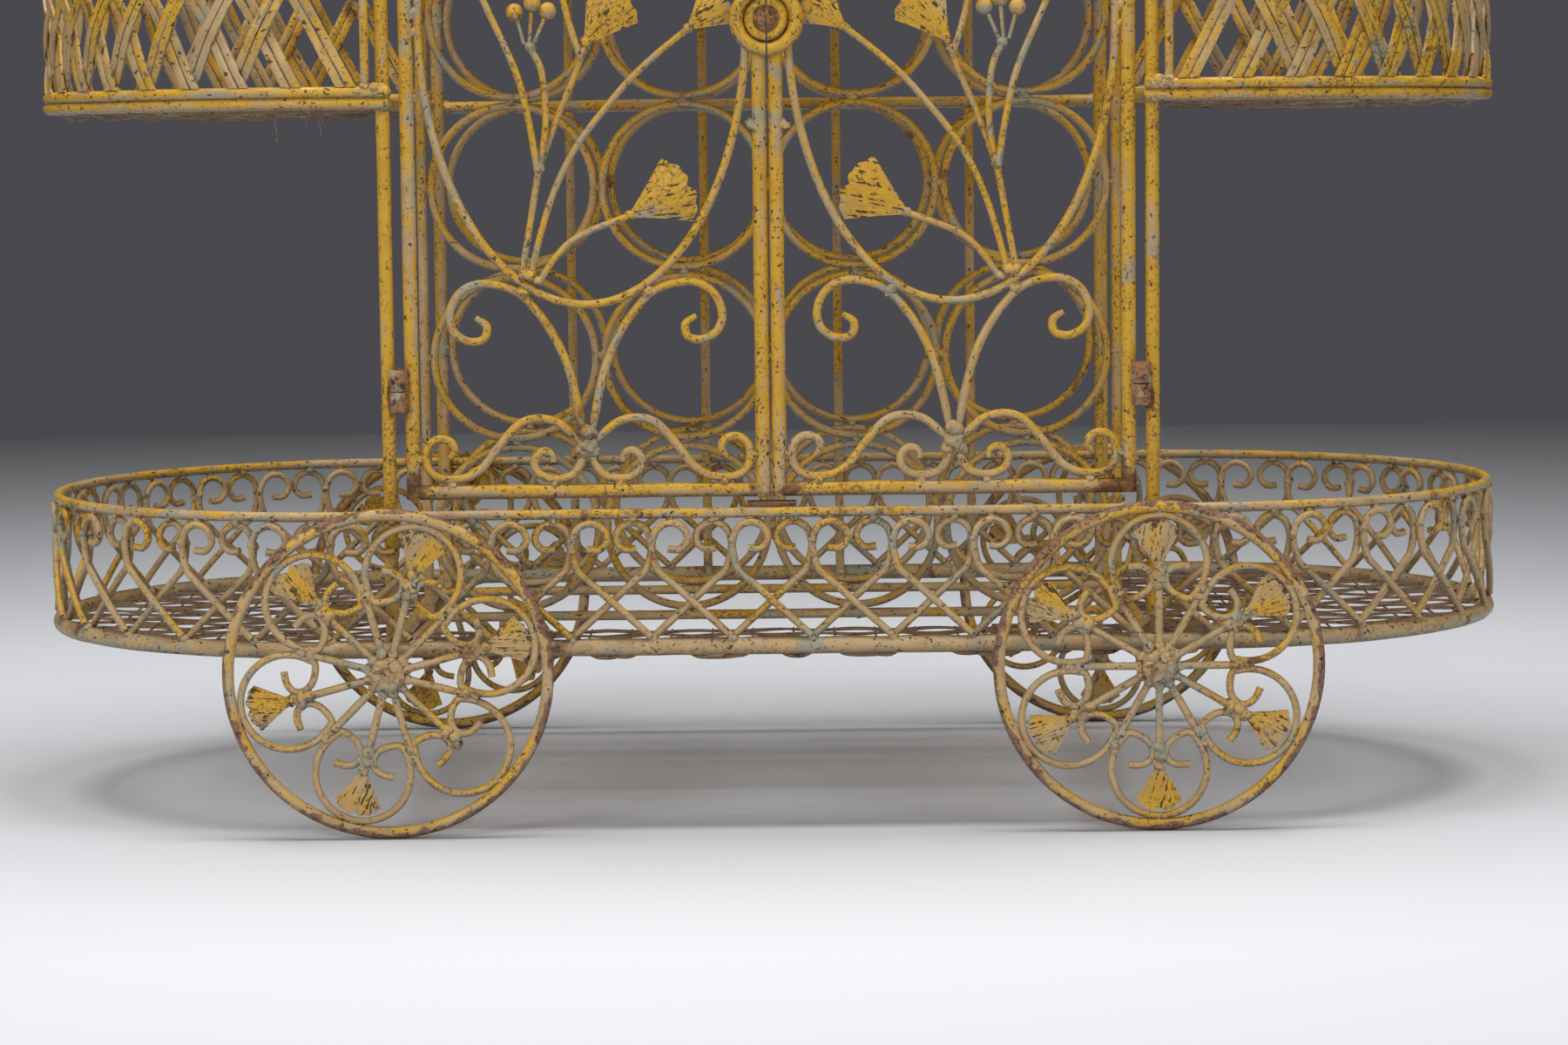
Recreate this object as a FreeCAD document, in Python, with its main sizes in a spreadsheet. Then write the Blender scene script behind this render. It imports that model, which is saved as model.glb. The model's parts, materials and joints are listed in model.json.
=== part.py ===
import FreeCAD, Part
import math
import os
from FreeCAD import Placement, Rotation, Vector

# Cheese trolley of bent and welded wire. Millimetres, +Z up, front towards -Y,
# origin on the floor under the middle of the tray.

DIMENSIONS = {
    # tray
    "tray_half_straight": 246.0,
    "tray_end_radius": 200.0,
    "tray_rail_dia": 10.0,
    "gallery_height": 78.0,
    "gallery_rail_dia": 6.0,
    "heart_count": 48,
    "heart_wire_dia": 4.4,
    "tray_cross_dia": 8.0,
    "tray_strip_depth": 90.0,
    "door_keeper_width": 29.0,
    "weave_thickness": 3.0,
    "weave_row_pitch": 30.0,
    "weave_gap_length": 92.0,
    # wheels
    "wheel_radius": 96.0,
    "wheel_offset": 22.0,
    "wheel_track_x": 222.5,
    "rim_dia": 7.0,
    "spoke_dia": 4.5,
    "scroll_dia": 4.3,
    "hub_radius": 11.0,
    "hub_length": 18.0,
    "axle_dia": 10.0,
    "bearing_radius": 6.9,
    "bearing_play": 0.5,
    "wheel_leaf_length": 29.0,
    "wheel_leaf_width": 26.0,
    "leaf_thickness": 2.4,
    # cabinet
    "post_x": 222.0,
    "post_dia": 8.0,
    "middle_rail_rise": 316.5,
    "middle_rail_dia": 8.0,
    "back_bar_dia": 6.0,
    "back_bar_x": 44.6,
    "deck_thickness": 4.0,
    "deck_overhang": 6.0,
    # bottle rack
    "rack_columns": 4,
    "rack_rows": 4,
    "bottle_pitch": 104.0,
    "rack_wire_dia": 5.0,
    "rack_rod_dia": 6.0,
    "rack_front_y": -65.0,
    "rack_depth": 140.0,
    # doors
    "door_height": 543.0,
    "door_rod_dia": 8.5,
    "door_meeting_gap": 1.0,
    "door_side_gap": 5.6,
    "door_sill_gap": 5.6,
    "door_head_gap": 2.0,
    "door_scroll_dia": 5.0,
    "vine_dia": 4.0,
    "oval_margin": 108.5,
    "door_leaf_length": 40.0,
    "door_leaf_width": 40.0,
    "berry_radius": 5.0,
    "weld_bead_radius": 6.5,
    "hinge_rise": 59.5,
    "knuckle_radius": 5.5,
    "knuckle_length": 12.4,
    "hinge_pin_dia": 4.8,
    "lock_ring_dia": 43.0,
    "lock_rod_dia": 8.0,
    "lock_curl_dia": 5.0,
    # baskets
    "basket_height": 140.0,
    "basket_rod_dia": 7.0,
    "basket_pairs": 19,
    "splint_width": 5.0,
    "splint_thickness": 2.0,
    "splint_lean": 62.0,
    "upright_dia": 5.0,
    # fits
    "seat_gap": 0.3,
    "pin_clearance": 0.3,
}

ROUND_STEPS = 12
RIM_STEPS = 24
RING_STEPS = 12
UP = Vector(0, 0, 1)
BACK = Vector(0, 1, 0)

doc = FreeCAD.newDocument("cheese_trolley")
sheet = doc.addObject("Spreadsheet::Sheet", "dims")
for row, (alias, value) in enumerate(DIMENSIONS.items(), start=1):
    sheet.set(f"A{row}", alias)
    sheet.set(f"B{row}", str(value))
    sheet.setAlias(f"B{row}", alias)
doc.recompute()


def size(alias):
    """One driving dimension, read from the sheet."""
    return float(sheet.get(alias))


# ---------------------------------------------------------------- derived places

HEX_FLAT = math.cos(math.pi / 6)
GAP = size("seat_gap")
END_R = size("tray_end_radius")
HALF = size("tray_half_straight")
TRAY_R = size("tray_rail_dia") / 2
TRAY_Z = size("wheel_radius") + size("bearing_radius") + GAP + TRAY_R * HEX_FLAT
GALLERY_Z = TRAY_Z + size("gallery_height")
GALLERY_R = size("gallery_rail_dia") / 2
POST_R = size("post_dia") / 2
POST_X = size("post_x")
CROSS_R = size("tray_cross_dia") / 2
POST_FOOT = TRAY_Z + CROSS_R * HEX_FLAT + GAP
HEART_R = size("heart_wire_dia") / 2
HEART_LAYER = HEART_R + GAP / 3
CABINET_Y = END_R - HEART_LAYER - HEART_R - GAP - POST_R
BACK_BAR_R = size("back_bar_dia") / 2
BACK_BAR_Y = END_R - TRAY_R - GAP - BACK_BAR_R * HEX_FLAT
MIDDLE_Z = TRAY_Z + size("middle_rail_rise")

DOOR_R = size("door_rod_dia") / 2
DOOR_SILL = GALLERY_Z + GALLERY_R + size("door_sill_gap") + DOOR_R
DOOR_HEAD = DOOR_SILL + size("door_height")
DOOR_OUTER = POST_X - POST_R - size("door_side_gap") - DOOR_R
DOOR_INNER = size("door_meeting_gap") / 2 + DOOR_R
DOOR_MID = (DOOR_OUTER + DOOR_INNER) / 2
DOOR_HALF_WIDTH = (DOOR_OUTER - DOOR_INNER) / 2
LOCK_Z = DOOR_SILL + size("door_height") / 2
TOP_Z = DOOR_HEAD + DOOR_R + size("door_head_gap") + POST_R

HINGE_X = (POST_X + DOOR_OUTER) / 2
HINGE_REACH = size("knuckle_radius") + 0.92 * DOOR_R + GAP
HINGE_Y = -CABINET_Y - math.sqrt(HINGE_REACH**2 - ((POST_X - DOOR_OUTER) / 2) ** 2)
HINGE_HEIGHTS = (DOOR_SILL + size("hinge_rise"), DOOR_HEAD - size("hinge_rise"))

RACK_ROD = size("rack_rod_dia") / 2
RACK_WIRE = size("rack_wire_dia") / 2
PITCH = size("bottle_pitch")
COLUMNS = int(size("rack_columns"))
ROWS = int(size("rack_rows"))
RACK_FRONT = size("rack_front_y")
RACK_BACK = RACK_FRONT + size("rack_depth")
RACK_RAIL_Z = TRAY_Z + RACK_ROD
RACK_FOOT = RACK_RAIL_Z + RACK_ROD * HEX_FLAT + GAP
RACK_TOP_Z = RACK_FOOT + ROWS * PITCH + RACK_ROD * HEX_FLAT
RACK_POST_X = COLUMNS * PITCH / 2 + RACK_ROD + GAP / 2
SHELF_Z = RACK_TOP_Z + 2 * RACK_ROD * HEX_FLAT + GAP

BASKET_R = size("basket_rod_dia") / 2
BASKET_Z = MIDDLE_Z
BASKET_RIM_Z = BASKET_Z + size("basket_height")
BASKET_END = CABINET_Y + POST_R + GAP + BASKET_R
WHEEL_Y = END_R + size("wheel_offset")
AXLE_Z = size("wheel_radius")


# ---------------------------------------------------------------- wire tools

def mitred(points, section, normal, closed=False):
    """Straight bars joined by mitres. section is (aside, along normal) corner offsets."""
    count = len(points)
    spans = count if closed else count - 1
    runs = [(points[(i + 1) % count] - points[i]).normalize() for i in range(spans)]
    planes = []
    for i in range(count):
        if closed or 0 < i < count - 1:
            planes.append((runs[i - 1] + runs[i]).normalize())
        else:
            planes.append(runs[0] if i == 0 else runs[-1])
    aside = runs[0].cross(normal).normalize()
    lift = aside.cross(runs[0]).normalize()

    def cut(corner, along, index):
        slide = (points[index] - corner).dot(planes[index]) / along.dot(planes[index])
        return corner + along * slide

    rings = [[cut(points[0] + aside * a + lift * b, runs[0], 0) for a, b in section]]
    for i in range(spans):
        after = (i + 1) % count
        last = closed and after == 0
        rings.append(rings[0] if last else [cut(c, runs[i], after) for c in rings[-1]])
    faces = []
    for near, far in zip(rings, rings[1:]):
        for k in range(len(section)):
            m = (k + 1) % len(section)
            faces.append(polygon_face([near[k], near[m], far[m], far[k]]))
    if not closed:
        faces.append(polygon_face(rings[0][::-1]))
        faces.append(polygon_face(rings[-1]))
    return Part.Solid(Part.Shell(faces))


def polygon_face(corners):
    return Part.Face(Part.makePolygon(corners + corners[:1]))


def wire(points, dia, normal=BACK, closed=False, sides=4, flat_out=False):
    """A bent wire of even section, its corners within the wire's real diameter."""
    start = math.pi / sides if flat_out else 0.0
    angles = [start + 2 * math.pi * k / sides for k in range(sides)]
    section = [(dia / 2 * math.cos(a), dia / 2 * math.sin(a)) for a in angles]
    return mitred(points, section, normal, closed)


def plate(corners, along):
    """A flat plate: a polygon swept along a vector."""
    return polygon_face(corners).extrude(along)


def bead(centre, radius, sides=6):
    """A round blob with flat facets."""
    def ring(height, reach):
        turns = [2 * math.pi * k / sides for k in range(sides)]
        return [centre + Vector(reach * math.cos(a), reach * math.sin(a), height) for a in turns]

    low = ring(-radius / 2, radius * HEX_FLAT)
    high = ring(radius / 2, radius * HEX_FLAT)
    bottom = centre - UP * radius
    top = centre + UP * radius
    faces = []
    for k in range(sides):
        m = (k + 1) % sides
        faces.append(polygon_face([bottom, low[m], low[k]]))
        faces.append(polygon_face([low[k], low[m], high[m], high[k]]))
        faces.append(polygon_face([high[k], high[m], top]))
    return Part.Solid(Part.Shell(faces))


def polar(centre, radius, degrees):
    """A point (across, up) on a circle, from straight right, turning upwards."""
    angle = math.radians(degrees)
    return (centre[0] + radius * math.cos(angle), centre[1] + radius * math.sin(angle))


def arc(centre, radius, start, end, steps):
    return [polar(centre, radius, start + (end - start) * k / steps) for k in range(steps + 1)]


# ---------------------------------------------------------------- document tools

PARTS = []


def keep(item, name):
    item.Label = name
    PARTS.append(item)
    return item


def solids(name, shapes):
    """A sub-part of bent wires or plates, as a feature that holds its solids."""
    item = doc.addObject("Part::Feature", name)
    item.Shape = shapes[0] if len(shapes) == 1 else Part.makeCompound(shapes)
    item.Placement = Placement()
    return keep(item, name)


def bar(name, sides, radius, length, place, rotation=None, first_turn=0.0):
    """A straight bar of regular section, its sizes and place bound to the sheet."""
    item = doc.addObject("Part::Prism", name)
    item.Polygon = sides
    turned = rotation or Rotation()
    item.Placement = Placement(Vector(), turned.multiply(Rotation(UP, first_turn)))
    item.setExpression("Circumradius", radius)
    item.setExpression("Height", length)
    for axis, formula in zip("xyz", place):
        item.setExpression(f"Placement.Base.{axis}", formula)
    return item


def group(name, items):
    item = doc.addObject("Part::Compound", name)
    item.Links = items
    return keep(item, name)


for alias, value in (
    ("hex_flat", HEX_FLAT),
    ("post_foot", POST_FOOT),
    ("post_top", TOP_Z - POST_R * HEX_FLAT - GAP),
    ("cabinet_y", CABINET_Y),
    ("back_bar_y", BACK_BAR_Y),
    ("back_bar_foot", TRAY_Z - TRAY_R / 2),
    ("middle_z", MIDDLE_Z),
    ("top_z", TOP_Z),
    ("hinge_x", HINGE_X),
    ("hinge_y", HINGE_Y),
    ("sleeve_length", 2 * (size("wheel_offset") - size("hub_length") / 2 - size("bearing_play"))),
):
    row += 1
    sheet.set(f"A{row}", alias)
    sheet.set(f"B{row}", repr(value))
    sheet.setAlias(f"B{row}", alias)
doc.recompute()


# ---------------------------------------------------------------- tray

def outline(radius_change=0.0, height=0.0, ends=("right", "left")):
    """Corners of the tray's outline: flats that touch the half rounds of each end."""
    radius = END_R + radius_change
    step = 180.0 / ROUND_STEPS
    reach = radius / math.cos(math.radians(step / 2))
    corners = []
    for end in ends:
        side = 1 if end == "right" else -1
        start = -90.0 if end == "right" else 90.0
        for k in range(ROUND_STEPS):
            across, back = polar((side * HALF, 0.0), reach, start + step * (k + 0.5))
            corners.append(Vector(across, back, height))
    return corners


def around(run, out, height):
    """A point on the tray's outline, run along it from the front middle towards +X."""
    bend = math.pi * END_R
    total = 4 * HALF + 2 * bend
    run = (run + HALF) % total
    reach = END_R + out
    if run < 2 * HALF:
        return Vector(run - HALF, -reach, height)
    run -= 2 * HALF
    if run < bend:
        across, back = polar((HALF, 0.0), reach, -90.0 + math.degrees(run / END_R))
        return Vector(across, back, height)
    run -= bend
    if run < 2 * HALF:
        return Vector(HALF - run, reach, height)
    across, back = polar((-HALF, 0.0), reach, 90.0 + math.degrees((run - 2 * HALF) / END_R))
    return Vector(across, back, height)


def tray_rails():
    bottom = outline(height=TRAY_Z)
    solids("tray_bottom_rail", [wire(bottom, size("tray_rail_dia"), UP, True, 6)])
    # the gallery's rail is two half-round bends butted to two straight rods
    dia = size("gallery_rail_dia")
    rods = []
    for side, end in ((1, "right"), (-1, "left")):
        bend = outline(height=GALLERY_Z, ends=(end,))
        joint = side * (HALF + GAP / 2)
        first, last = (Vector(joint, bend[k].y, GALLERY_Z) for k in (0, -1))
        rods.append(wire([first] + bend + [last], dia, UP, False, 6))
        left, right = (Vector(k * (HALF - GAP / 2), side * END_R, GALLERY_Z) for k in (-1, 1))
        rods.append(wire([left, right], dia, UP, False, 6))
    half = size("door_keeper_width") / 2
    foot = GALLERY_Z + GALLERY_R * HEX_FLAT + GAP
    keeper = rectangle(Vector(-half, -END_R - GALLERY_R, 0), Vector(half, -CABINET_Y + 2 * DOOR_R, 0))
    keeper = [Vector(c.x, c.y, foot) for c in keeper]
    rods.append(plate(keeper, UP * (DOOR_SILL - DOOR_R * HEX_FLAT - foot) / 2))
    solids("tray_top_rail", rods)


def heart_path(half_width, lobe_top, foot):
    """One wire of a heart, hook first, then its lobe, then straight down to its foot."""
    bends = [(-0.5, -15.0), (-0.08, -10.0), (-0.38, 0.0), (-0.98, -6.5), (-0.96, -21.0)]
    points = [(part * half_width, lobe_top + drop) for part, drop in bends]
    return points + [(half_width * 0.97, foot)]


def gallery():
    count = int(size("heart_count"))
    pitch = (4 * HALF + 2 * math.pi * END_R) / count
    dia = size("heart_wire_dia")
    lobe_top = GALLERY_Z - GALLERY_R * HEX_FLAT - GAP - 1.15 * HEART_R
    foot = TRAY_Z + TRAY_R * HEX_FLAT + GAP + 0.75 * HEART_R
    for name, mirror, out in (("outer", 1, HEART_LAYER), ("inner", -1, -HEART_LAYER)):
        wires = []
        for heart in range(count):
            middle = heart * pitch
            points = [
                around(middle + mirror * across, out, level)
                for across, level in heart_path(pitch / 2, lobe_top, foot)
            ]
            facing = around(middle, 1.0, 0.0) - around(middle, 0.0, 0.0)
            wires.append(wire(points, dia, facing))
        solids(f"gallery_hearts_{name}", wires)


def woven(name, edge, low, high, level, depth):
    """A woven floor: one thin plate with staggered long gaps between its strands."""
    thick = size("weave_thickness")
    row_pitch = size("weave_row_pitch")
    length = size("weave_gap_length")
    strand = row_pitch * 0.2
    face_wires = [Part.makePolygon(edge + edge[:1])]
    rows = int(depth / row_pitch)
    for row_index in range(rows):
        y = (row_index - (rows - 1) / 2) * row_pitch + (low.y + high.y) / 2
        shift = length / 2 if row_index % 2 else 0.0
        x = low.x + strand + shift
        while x < high.x - strand:
            ends = (x, min(x + length - strand, high.x - strand))
            x += length
            corners = lens(ends, y, row_pitch * 0.82, strand, edge)
            if corners:
                face_wires.append(Part.makePolygon(corners + corners[:1]))
    base = Part.makeFace(face_wires, "Part::FaceMakerBullseye")
    base.translate(Vector(0, 0, level - thick / 2))
    return solids(name, [base.extrude(Vector(0, 0, thick))])


def lens(ends, y, height, strand, edge):
    """Four corners of one gap, or nothing where it would cut the floor's edge."""
    start, stop = ends
    if stop - start < 3 * strand:
        return None
    middle = (start + stop) / 2
    corners = [
        Vector(start, y, 0),
        Vector(middle, y - height / 2, 0),
        Vector(stop, y, 0),
        Vector(middle, y + height / 2, 0),
    ]
    border = Part.Face(Part.makePolygon(edge + edge[:1]))
    inside = all(border.isInside(c, 0.01, True) for c in corners)
    rim = Part.Wire(Part.makePolygon(edge + edge[:1]))
    clear = all(rim.distToShape(Part.Vertex(c))[0] > strand for c in corners)
    return corners if inside and clear else None


def end_floor_edge(inner_x, side, rod_radius):
    corners = outline(-rod_radius - GAP, 0.0, ("right",))
    points = [Vector(c.x, c.y, 0) for c in corners if c.x > inner_x]
    front = -(END_R - rod_radius - GAP)
    points = [Vector(inner_x, front, 0)] + points + [Vector(inner_x, -front, 0)]
    if side < 0:
        points = [Vector(-c.x, c.y, 0) for c in reversed(points)]
    return points


def end_floor(name, side, inner_x, rod_radius, level):
    edge = end_floor_edge(inner_x, side, rod_radius)
    outer_x = HALF + END_R
    low = Vector(min(side * inner_x, side * outer_x), -END_R, 0)
    high = Vector(max(side * inner_x, side * outer_x), END_R, 0)
    woven(name, edge, low, high, level, 2 * END_R - 3 * rod_radius)


def rectangle(low, high):
    return [Vector(low.x, low.y, 0), Vector(high.x, low.y, 0),
            Vector(high.x, high.y, 0), Vector(low.x, high.y, 0)]


def tray_floors():
    inner = POST_X + CROSS_R + GAP
    end_floor("tray_weave_left", -1, inner, TRAY_R, TRAY_Z)
    end_floor("tray_weave_right", 1, inner, TRAY_R, TRAY_Z)
    reach = POST_X - CROSS_R - GAP
    front = -END_R + TRAY_R + GAP
    low = Vector(-reach, front, 0)
    high = Vector(reach, front + size("tray_strip_depth") - TRAY_R - RACK_ROD - 2 * GAP, 0)
    woven("tray_weave_front", rectangle(low, high), low, high, TRAY_Z, high.y - low.y)


def tray_rods():
    side_reach = END_R - TRAY_R - GAP
    long_reach = POST_X - CROSS_R - GAP
    rods = []
    for x in (-POST_X, POST_X):
        ends = [Vector(x, -side_reach, TRAY_Z), Vector(x, side_reach, TRAY_Z)]
        rods.append(wire(ends, 2 * CROSS_R, UP, sides=6))
    border = -END_R + size("tray_strip_depth")
    ends = [Vector(-long_reach, border, TRAY_Z), Vector(long_reach, border, TRAY_Z)]
    rods.append(wire(ends, 2 * RACK_ROD, UP, sides=6))
    solids("tray_cross_rods", rods)


# ---------------------------------------------------------------- wheelsets

def bearings():
    sleeves = []
    for x_sign in (-1, 1):
        for y_sign in (-1, 1):
            tag = f"{'left' if x_sign < 0 else 'right'}_{'front' if y_sign < 0 else 'back'}"
            place = (
                f"{x_sign} * dims.wheel_track_x",
                f"{y_sign} * dims.tray_end_radius - dims.sleeve_length / 2",
                "dims.wheel_radius",
            )
            along_y = Rotation(Vector(1, 0, 0), -90)
            shell = bar(f"sleeve_{tag}", 8, "dims.bearing_radius / cos(22.5 deg)",
                        "dims.sleeve_length", place, along_y, 22.5)
            bore = bar(f"sleeve_bore_{tag}", 12,
                       "(dims.axle_dia / 2 + dims.pin_clearance) / cos(15 deg)",
                       "dims.sleeve_length", place, along_y)
            cut = doc.addObject("Part::Cut", f"bearing_{tag}")
            cut.Base = shell
            cut.Tool = bore
            sleeves.append(cut)
    group("axle_bearings", sleeves)


def axle(side, x_sign):
    length = "2 * (dims.tray_end_radius + dims.wheel_offset) - dims.hub_length"
    place = (f"{x_sign} * dims.wheel_track_x", f"-({length}) / 2", "dims.wheel_radius")
    along_y = Rotation(Vector(1, 0, 0), -90)
    keep(bar(f"axle_{side}", 16, "dims.axle_dia / 2", length, place, along_y), f"axle_{side}")


def fan_leaf(place, length, width):
    """A fan-shaped leaf with a notched edge; place turns (along, aside) into a point."""
    half = width / 2
    shape = [(0.0, -1.4), (0.72, -half), (0.97, -0.42 * half), (0.9, 0.0),
             (0.97, 0.42 * half), (0.72, half), (0.0, 1.4)]
    return [place(along * length, aside) for along, aside in shape]


def wheel(side, end, x_sign, y_sign, turn, missing_leaf=None):
    """Rim, spokes with hub, scroll rings and leaves of one wheel."""
    centre = Vector(x_sign * size("wheel_track_x"), y_sign * WHEEL_Y, AXLE_Z)
    rim_r = size("rim_dia") / 2
    rim_line = size("wheel_radius") - rim_r * HEX_FLAT
    wire_r = size("scroll_dia") / 2
    rim_inside = rim_line - rim_r * HEX_FLAT
    ring_centre = (rim_inside - GAP + GAP / 2) / 1.5
    ring_r = ring_centre / 2 - wire_r - GAP / 2
    name = f"wheel_{side}_{end}"

    def spot(along, aside, degrees):
        angle = math.radians(degrees)
        outward = Vector(math.sin(angle), 0, -math.cos(angle))
        across = Vector(math.cos(angle), 0, math.sin(angle))
        return centre + outward * along + across * aside

    corner = rim_line / math.cos(math.pi / RIM_STEPS)
    rim = [spot(corner, 0, 360.0 * (k + 0.5) / RIM_STEPS) for k in range(RIM_STEPS)]
    solids(f"{name}_rim", [wire(rim, 2 * rim_r, BACK, True, 6, True)])

    hub_r = size("hub_radius")
    half_hub = size("hub_length") / 2
    hub = [spot(hub_r / math.cos(math.pi / 12), 0, turn + 30.0 * k + 15.0) for k in range(12)]
    back_face = [c - BACK * half_hub for c in hub]
    spokes = [plate(back_face, BACK * 2 * half_hub)]
    leaf_root = ring_centre - ring_r * 0.6
    junction = ring_centre * math.cos(math.pi / 6) - 0.46 * ring_r
    for k in range(12):
        reach = leaf_root - GAP if k % 2 == 0 else junction
        degrees = turn + 30.0 * k
        ends = [spot(hub_r + GAP, 0, degrees), spot(reach, 0, degrees)]
        spokes.append(wire(ends, size("spoke_dia")))
    solids(f"{name}_spokes", spokes)

    rings = []
    leaves = []
    for k in range(6):
        degrees = turn + 60.0 * k
        path = arc((ring_centre, 0.0), ring_r, -140.0, 140.0, 8)
        hook = (leaf_root + 2 * wire_r, 1.4 * size("spoke_dia") + wire_r)
        path = [(hook[0], -hook[1])] + path + [hook]
        rings.append(wire([spot(a, b, degrees) for a, b in path], 2 * wire_r))
        if k == missing_leaf:
            continue
        thick = size("leaf_thickness")
        corners = fan_leaf(
            lambda a, b: spot(leaf_root + a, b, degrees) - BACK * thick / 2,
            size("wheel_leaf_length"), size("wheel_leaf_width"))
        leaves.append(plate(corners, BACK * thick))
    solids(f"{name}_scrolls", rings)
    solids(f"{name}_leaves", leaves)


def wheelsets():
    bearings()
    for side, x_sign, turn in (("left", -1, -15.0), ("right", 1, 0.0)):
        axle(side, x_sign)
        wheel(side, "front", x_sign, -1, turn, 1 if side == "left" else None)
        wheel(side, "back", x_sign, 1, turn)


# ---------------------------------------------------------------- cabinet

def posts():
    corner_posts = []
    for x_sign in (-1, 1):
        for y_sign in (-1, 1):
            tag = f"{'left' if x_sign < 0 else 'right'}_{'front' if y_sign < 0 else 'back'}"
            place = (f"{x_sign} * dims.post_x", f"{y_sign} * dims.cabinet_y",
                     "dims.post_foot")
            corner_posts.append(bar(f"post_{tag}", 6, "dims.post_dia / 2",
                                    "dims.post_top - dims.post_foot", place))
    group("corner_posts", corner_posts)
    bars = []
    for number, factor in enumerate((-3, -1, 1, 3), start=1):
        place = (f"{factor} * dims.back_bar_x", "dims.back_bar_y", "dims.back_bar_foot")
        lower = bar(f"back_bar_{number}_low", 6, "dims.back_bar_dia / 2",
                    "dims.middle_z - dims.middle_rail_dia / 2 * dims.hex_flat - dims.seat_gap"
                    " - dims.back_bar_foot", place)
        upper_foot = "dims.middle_z + dims.middle_rail_dia / 2 * dims.hex_flat + dims.seat_gap"
        place = (place[0], place[1], upper_foot)
        upper = bar(f"back_bar_{number}_high", 6, "dims.back_bar_dia / 2",
                    f"dims.post_top - ({upper_foot})", place)
        bars += [lower, upper]
    group("back_bars", bars)


def cabinet_rails():
    dia = size("middle_rail_dia")
    side_reach = CABINET_Y - POST_R * HEX_FLAT - GAP
    rails = []
    for x in (-POST_X, POST_X):
        ends = [Vector(x, -side_reach, MIDDLE_Z), Vector(x, side_reach, MIDDLE_Z)]
        rails.append(wire(ends, dia, UP, sides=6))
    reach = POST_X - POST_R - GAP
    ends = [Vector(-reach, CABINET_Y, MIDDLE_Z), Vector(reach, CABINET_Y, MIDDLE_Z)]
    rails.append(wire(ends, dia, UP, sides=6))
    solids("cabinet_middle_rails", rails)
    corners = [Vector(-POST_X, -CABINET_Y, TOP_Z), Vector(POST_X, -CABINET_Y, TOP_Z),
               Vector(POST_X, CABINET_Y, TOP_Z), Vector(-POST_X, CABINET_Y, TOP_Z)]
    solids("cabinet_top_rail", [wire(corners, size("post_dia"), UP, True, 6)])


def deck():
    """The serving deck on the top rail: one board of slats, face to face with the rail."""
    over = size("deck_overhang")
    low = Vector(-POST_X - over, -CABINET_Y - over, 0)
    high = Vector(POST_X + over, CABINET_Y + over, 0)
    thick = size("deck_thickness")
    level = TOP_Z + POST_R * HEX_FLAT + thick / 2
    corners = [c + Vector(0, 0, level - thick / 2) for c in rectangle(low, high)]
    solids("top_deck", [plate(corners, UP * thick)])


def shelf():
    half_x = POST_X - POST_R - GAP - RACK_ROD
    front = -CABINET_Y + DOOR_R + 2 * RACK_ROD
    back = BACK_BAR_Y - BACK_BAR_R - GAP - RACK_ROD
    corners = [Vector(-half_x, front, SHELF_Z), Vector(half_x, front, SHELF_Z),
               Vector(half_x, back, SHELF_Z), Vector(-half_x, back, SHELF_Z)]
    solids("shelf_frame", [wire(corners, 2 * RACK_ROD, UP, True, 6)])
    edge = RACK_ROD + GAP
    low = Vector(-half_x + edge, front + edge, 0)
    high = Vector(half_x - edge, back - edge, 0)
    strip = size("weave_thickness")
    slats = []
    count = 9
    pitch = (high.y - low.y) / count
    for k in range(count):
        y = low.y + pitch * (k + 0.5)
        ends = [Vector(low.x, y, SHELF_Z), Vector(high.x, y, SHELF_Z)]
        half = pitch * 0.36
        section = [(half, -strip / 2), (half, strip / 2), (-half, strip / 2), (-half, -strip / 2)]
        slats.append(mitred(ends, section, UP))
    solids("shelf_slats", slats)


def rack():
    rods = []
    half = POST_X - CROSS_R - GAP
    for y in (RACK_FRONT, RACK_BACK):
        low_ends = [Vector(-half, y, RACK_RAIL_Z), Vector(half, y, RACK_RAIL_Z)]
        high_ends = [Vector(-half, y, RACK_TOP_Z), Vector(half, y, RACK_TOP_Z)]
        rods.append(wire(low_ends, 2 * RACK_ROD, UP, sides=6))
        rods.append(wire(high_ends, 2 * RACK_ROD, UP, sides=6))
    solids("rack_rails", rods)
    uprights = []
    high = RACK_TOP_Z - RACK_ROD * HEX_FLAT - GAP
    for x in (-RACK_POST_X, RACK_POST_X):
        for y in (RACK_FRONT, RACK_BACK):
            ends = [Vector(x, y, RACK_FOOT), Vector(x, y, high)]
            uprights.append(wire(ends, 2 * RACK_ROD, BACK, sides=6))
    solids("rack_posts", uprights)
    ring_r = (PITCH - GAP) / 2 - RACK_WIRE / math.cos(math.pi / RING_STEPS)
    for name, y in (("front", RACK_FRONT), ("back", RACK_BACK)):
        rings = []
        for column in range(COLUMNS):
            for level in range(ROWS):
                x = (column - (COLUMNS - 1) / 2) * PITCH
                z = RACK_FOOT + PITCH * (level + 0.5) - GAP / 2
                circle = arc((x, z), ring_r, 0.0, 360.0, RING_STEPS)[:-1]
                points = [Vector(across, y, up) for across, up in circle]
                rings.append(wire(points, 2 * RACK_WIRE, BACK, True))
        solids(f"rack_rings_{name}", rings)


# ---------------------------------------------------------------- doors

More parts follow.
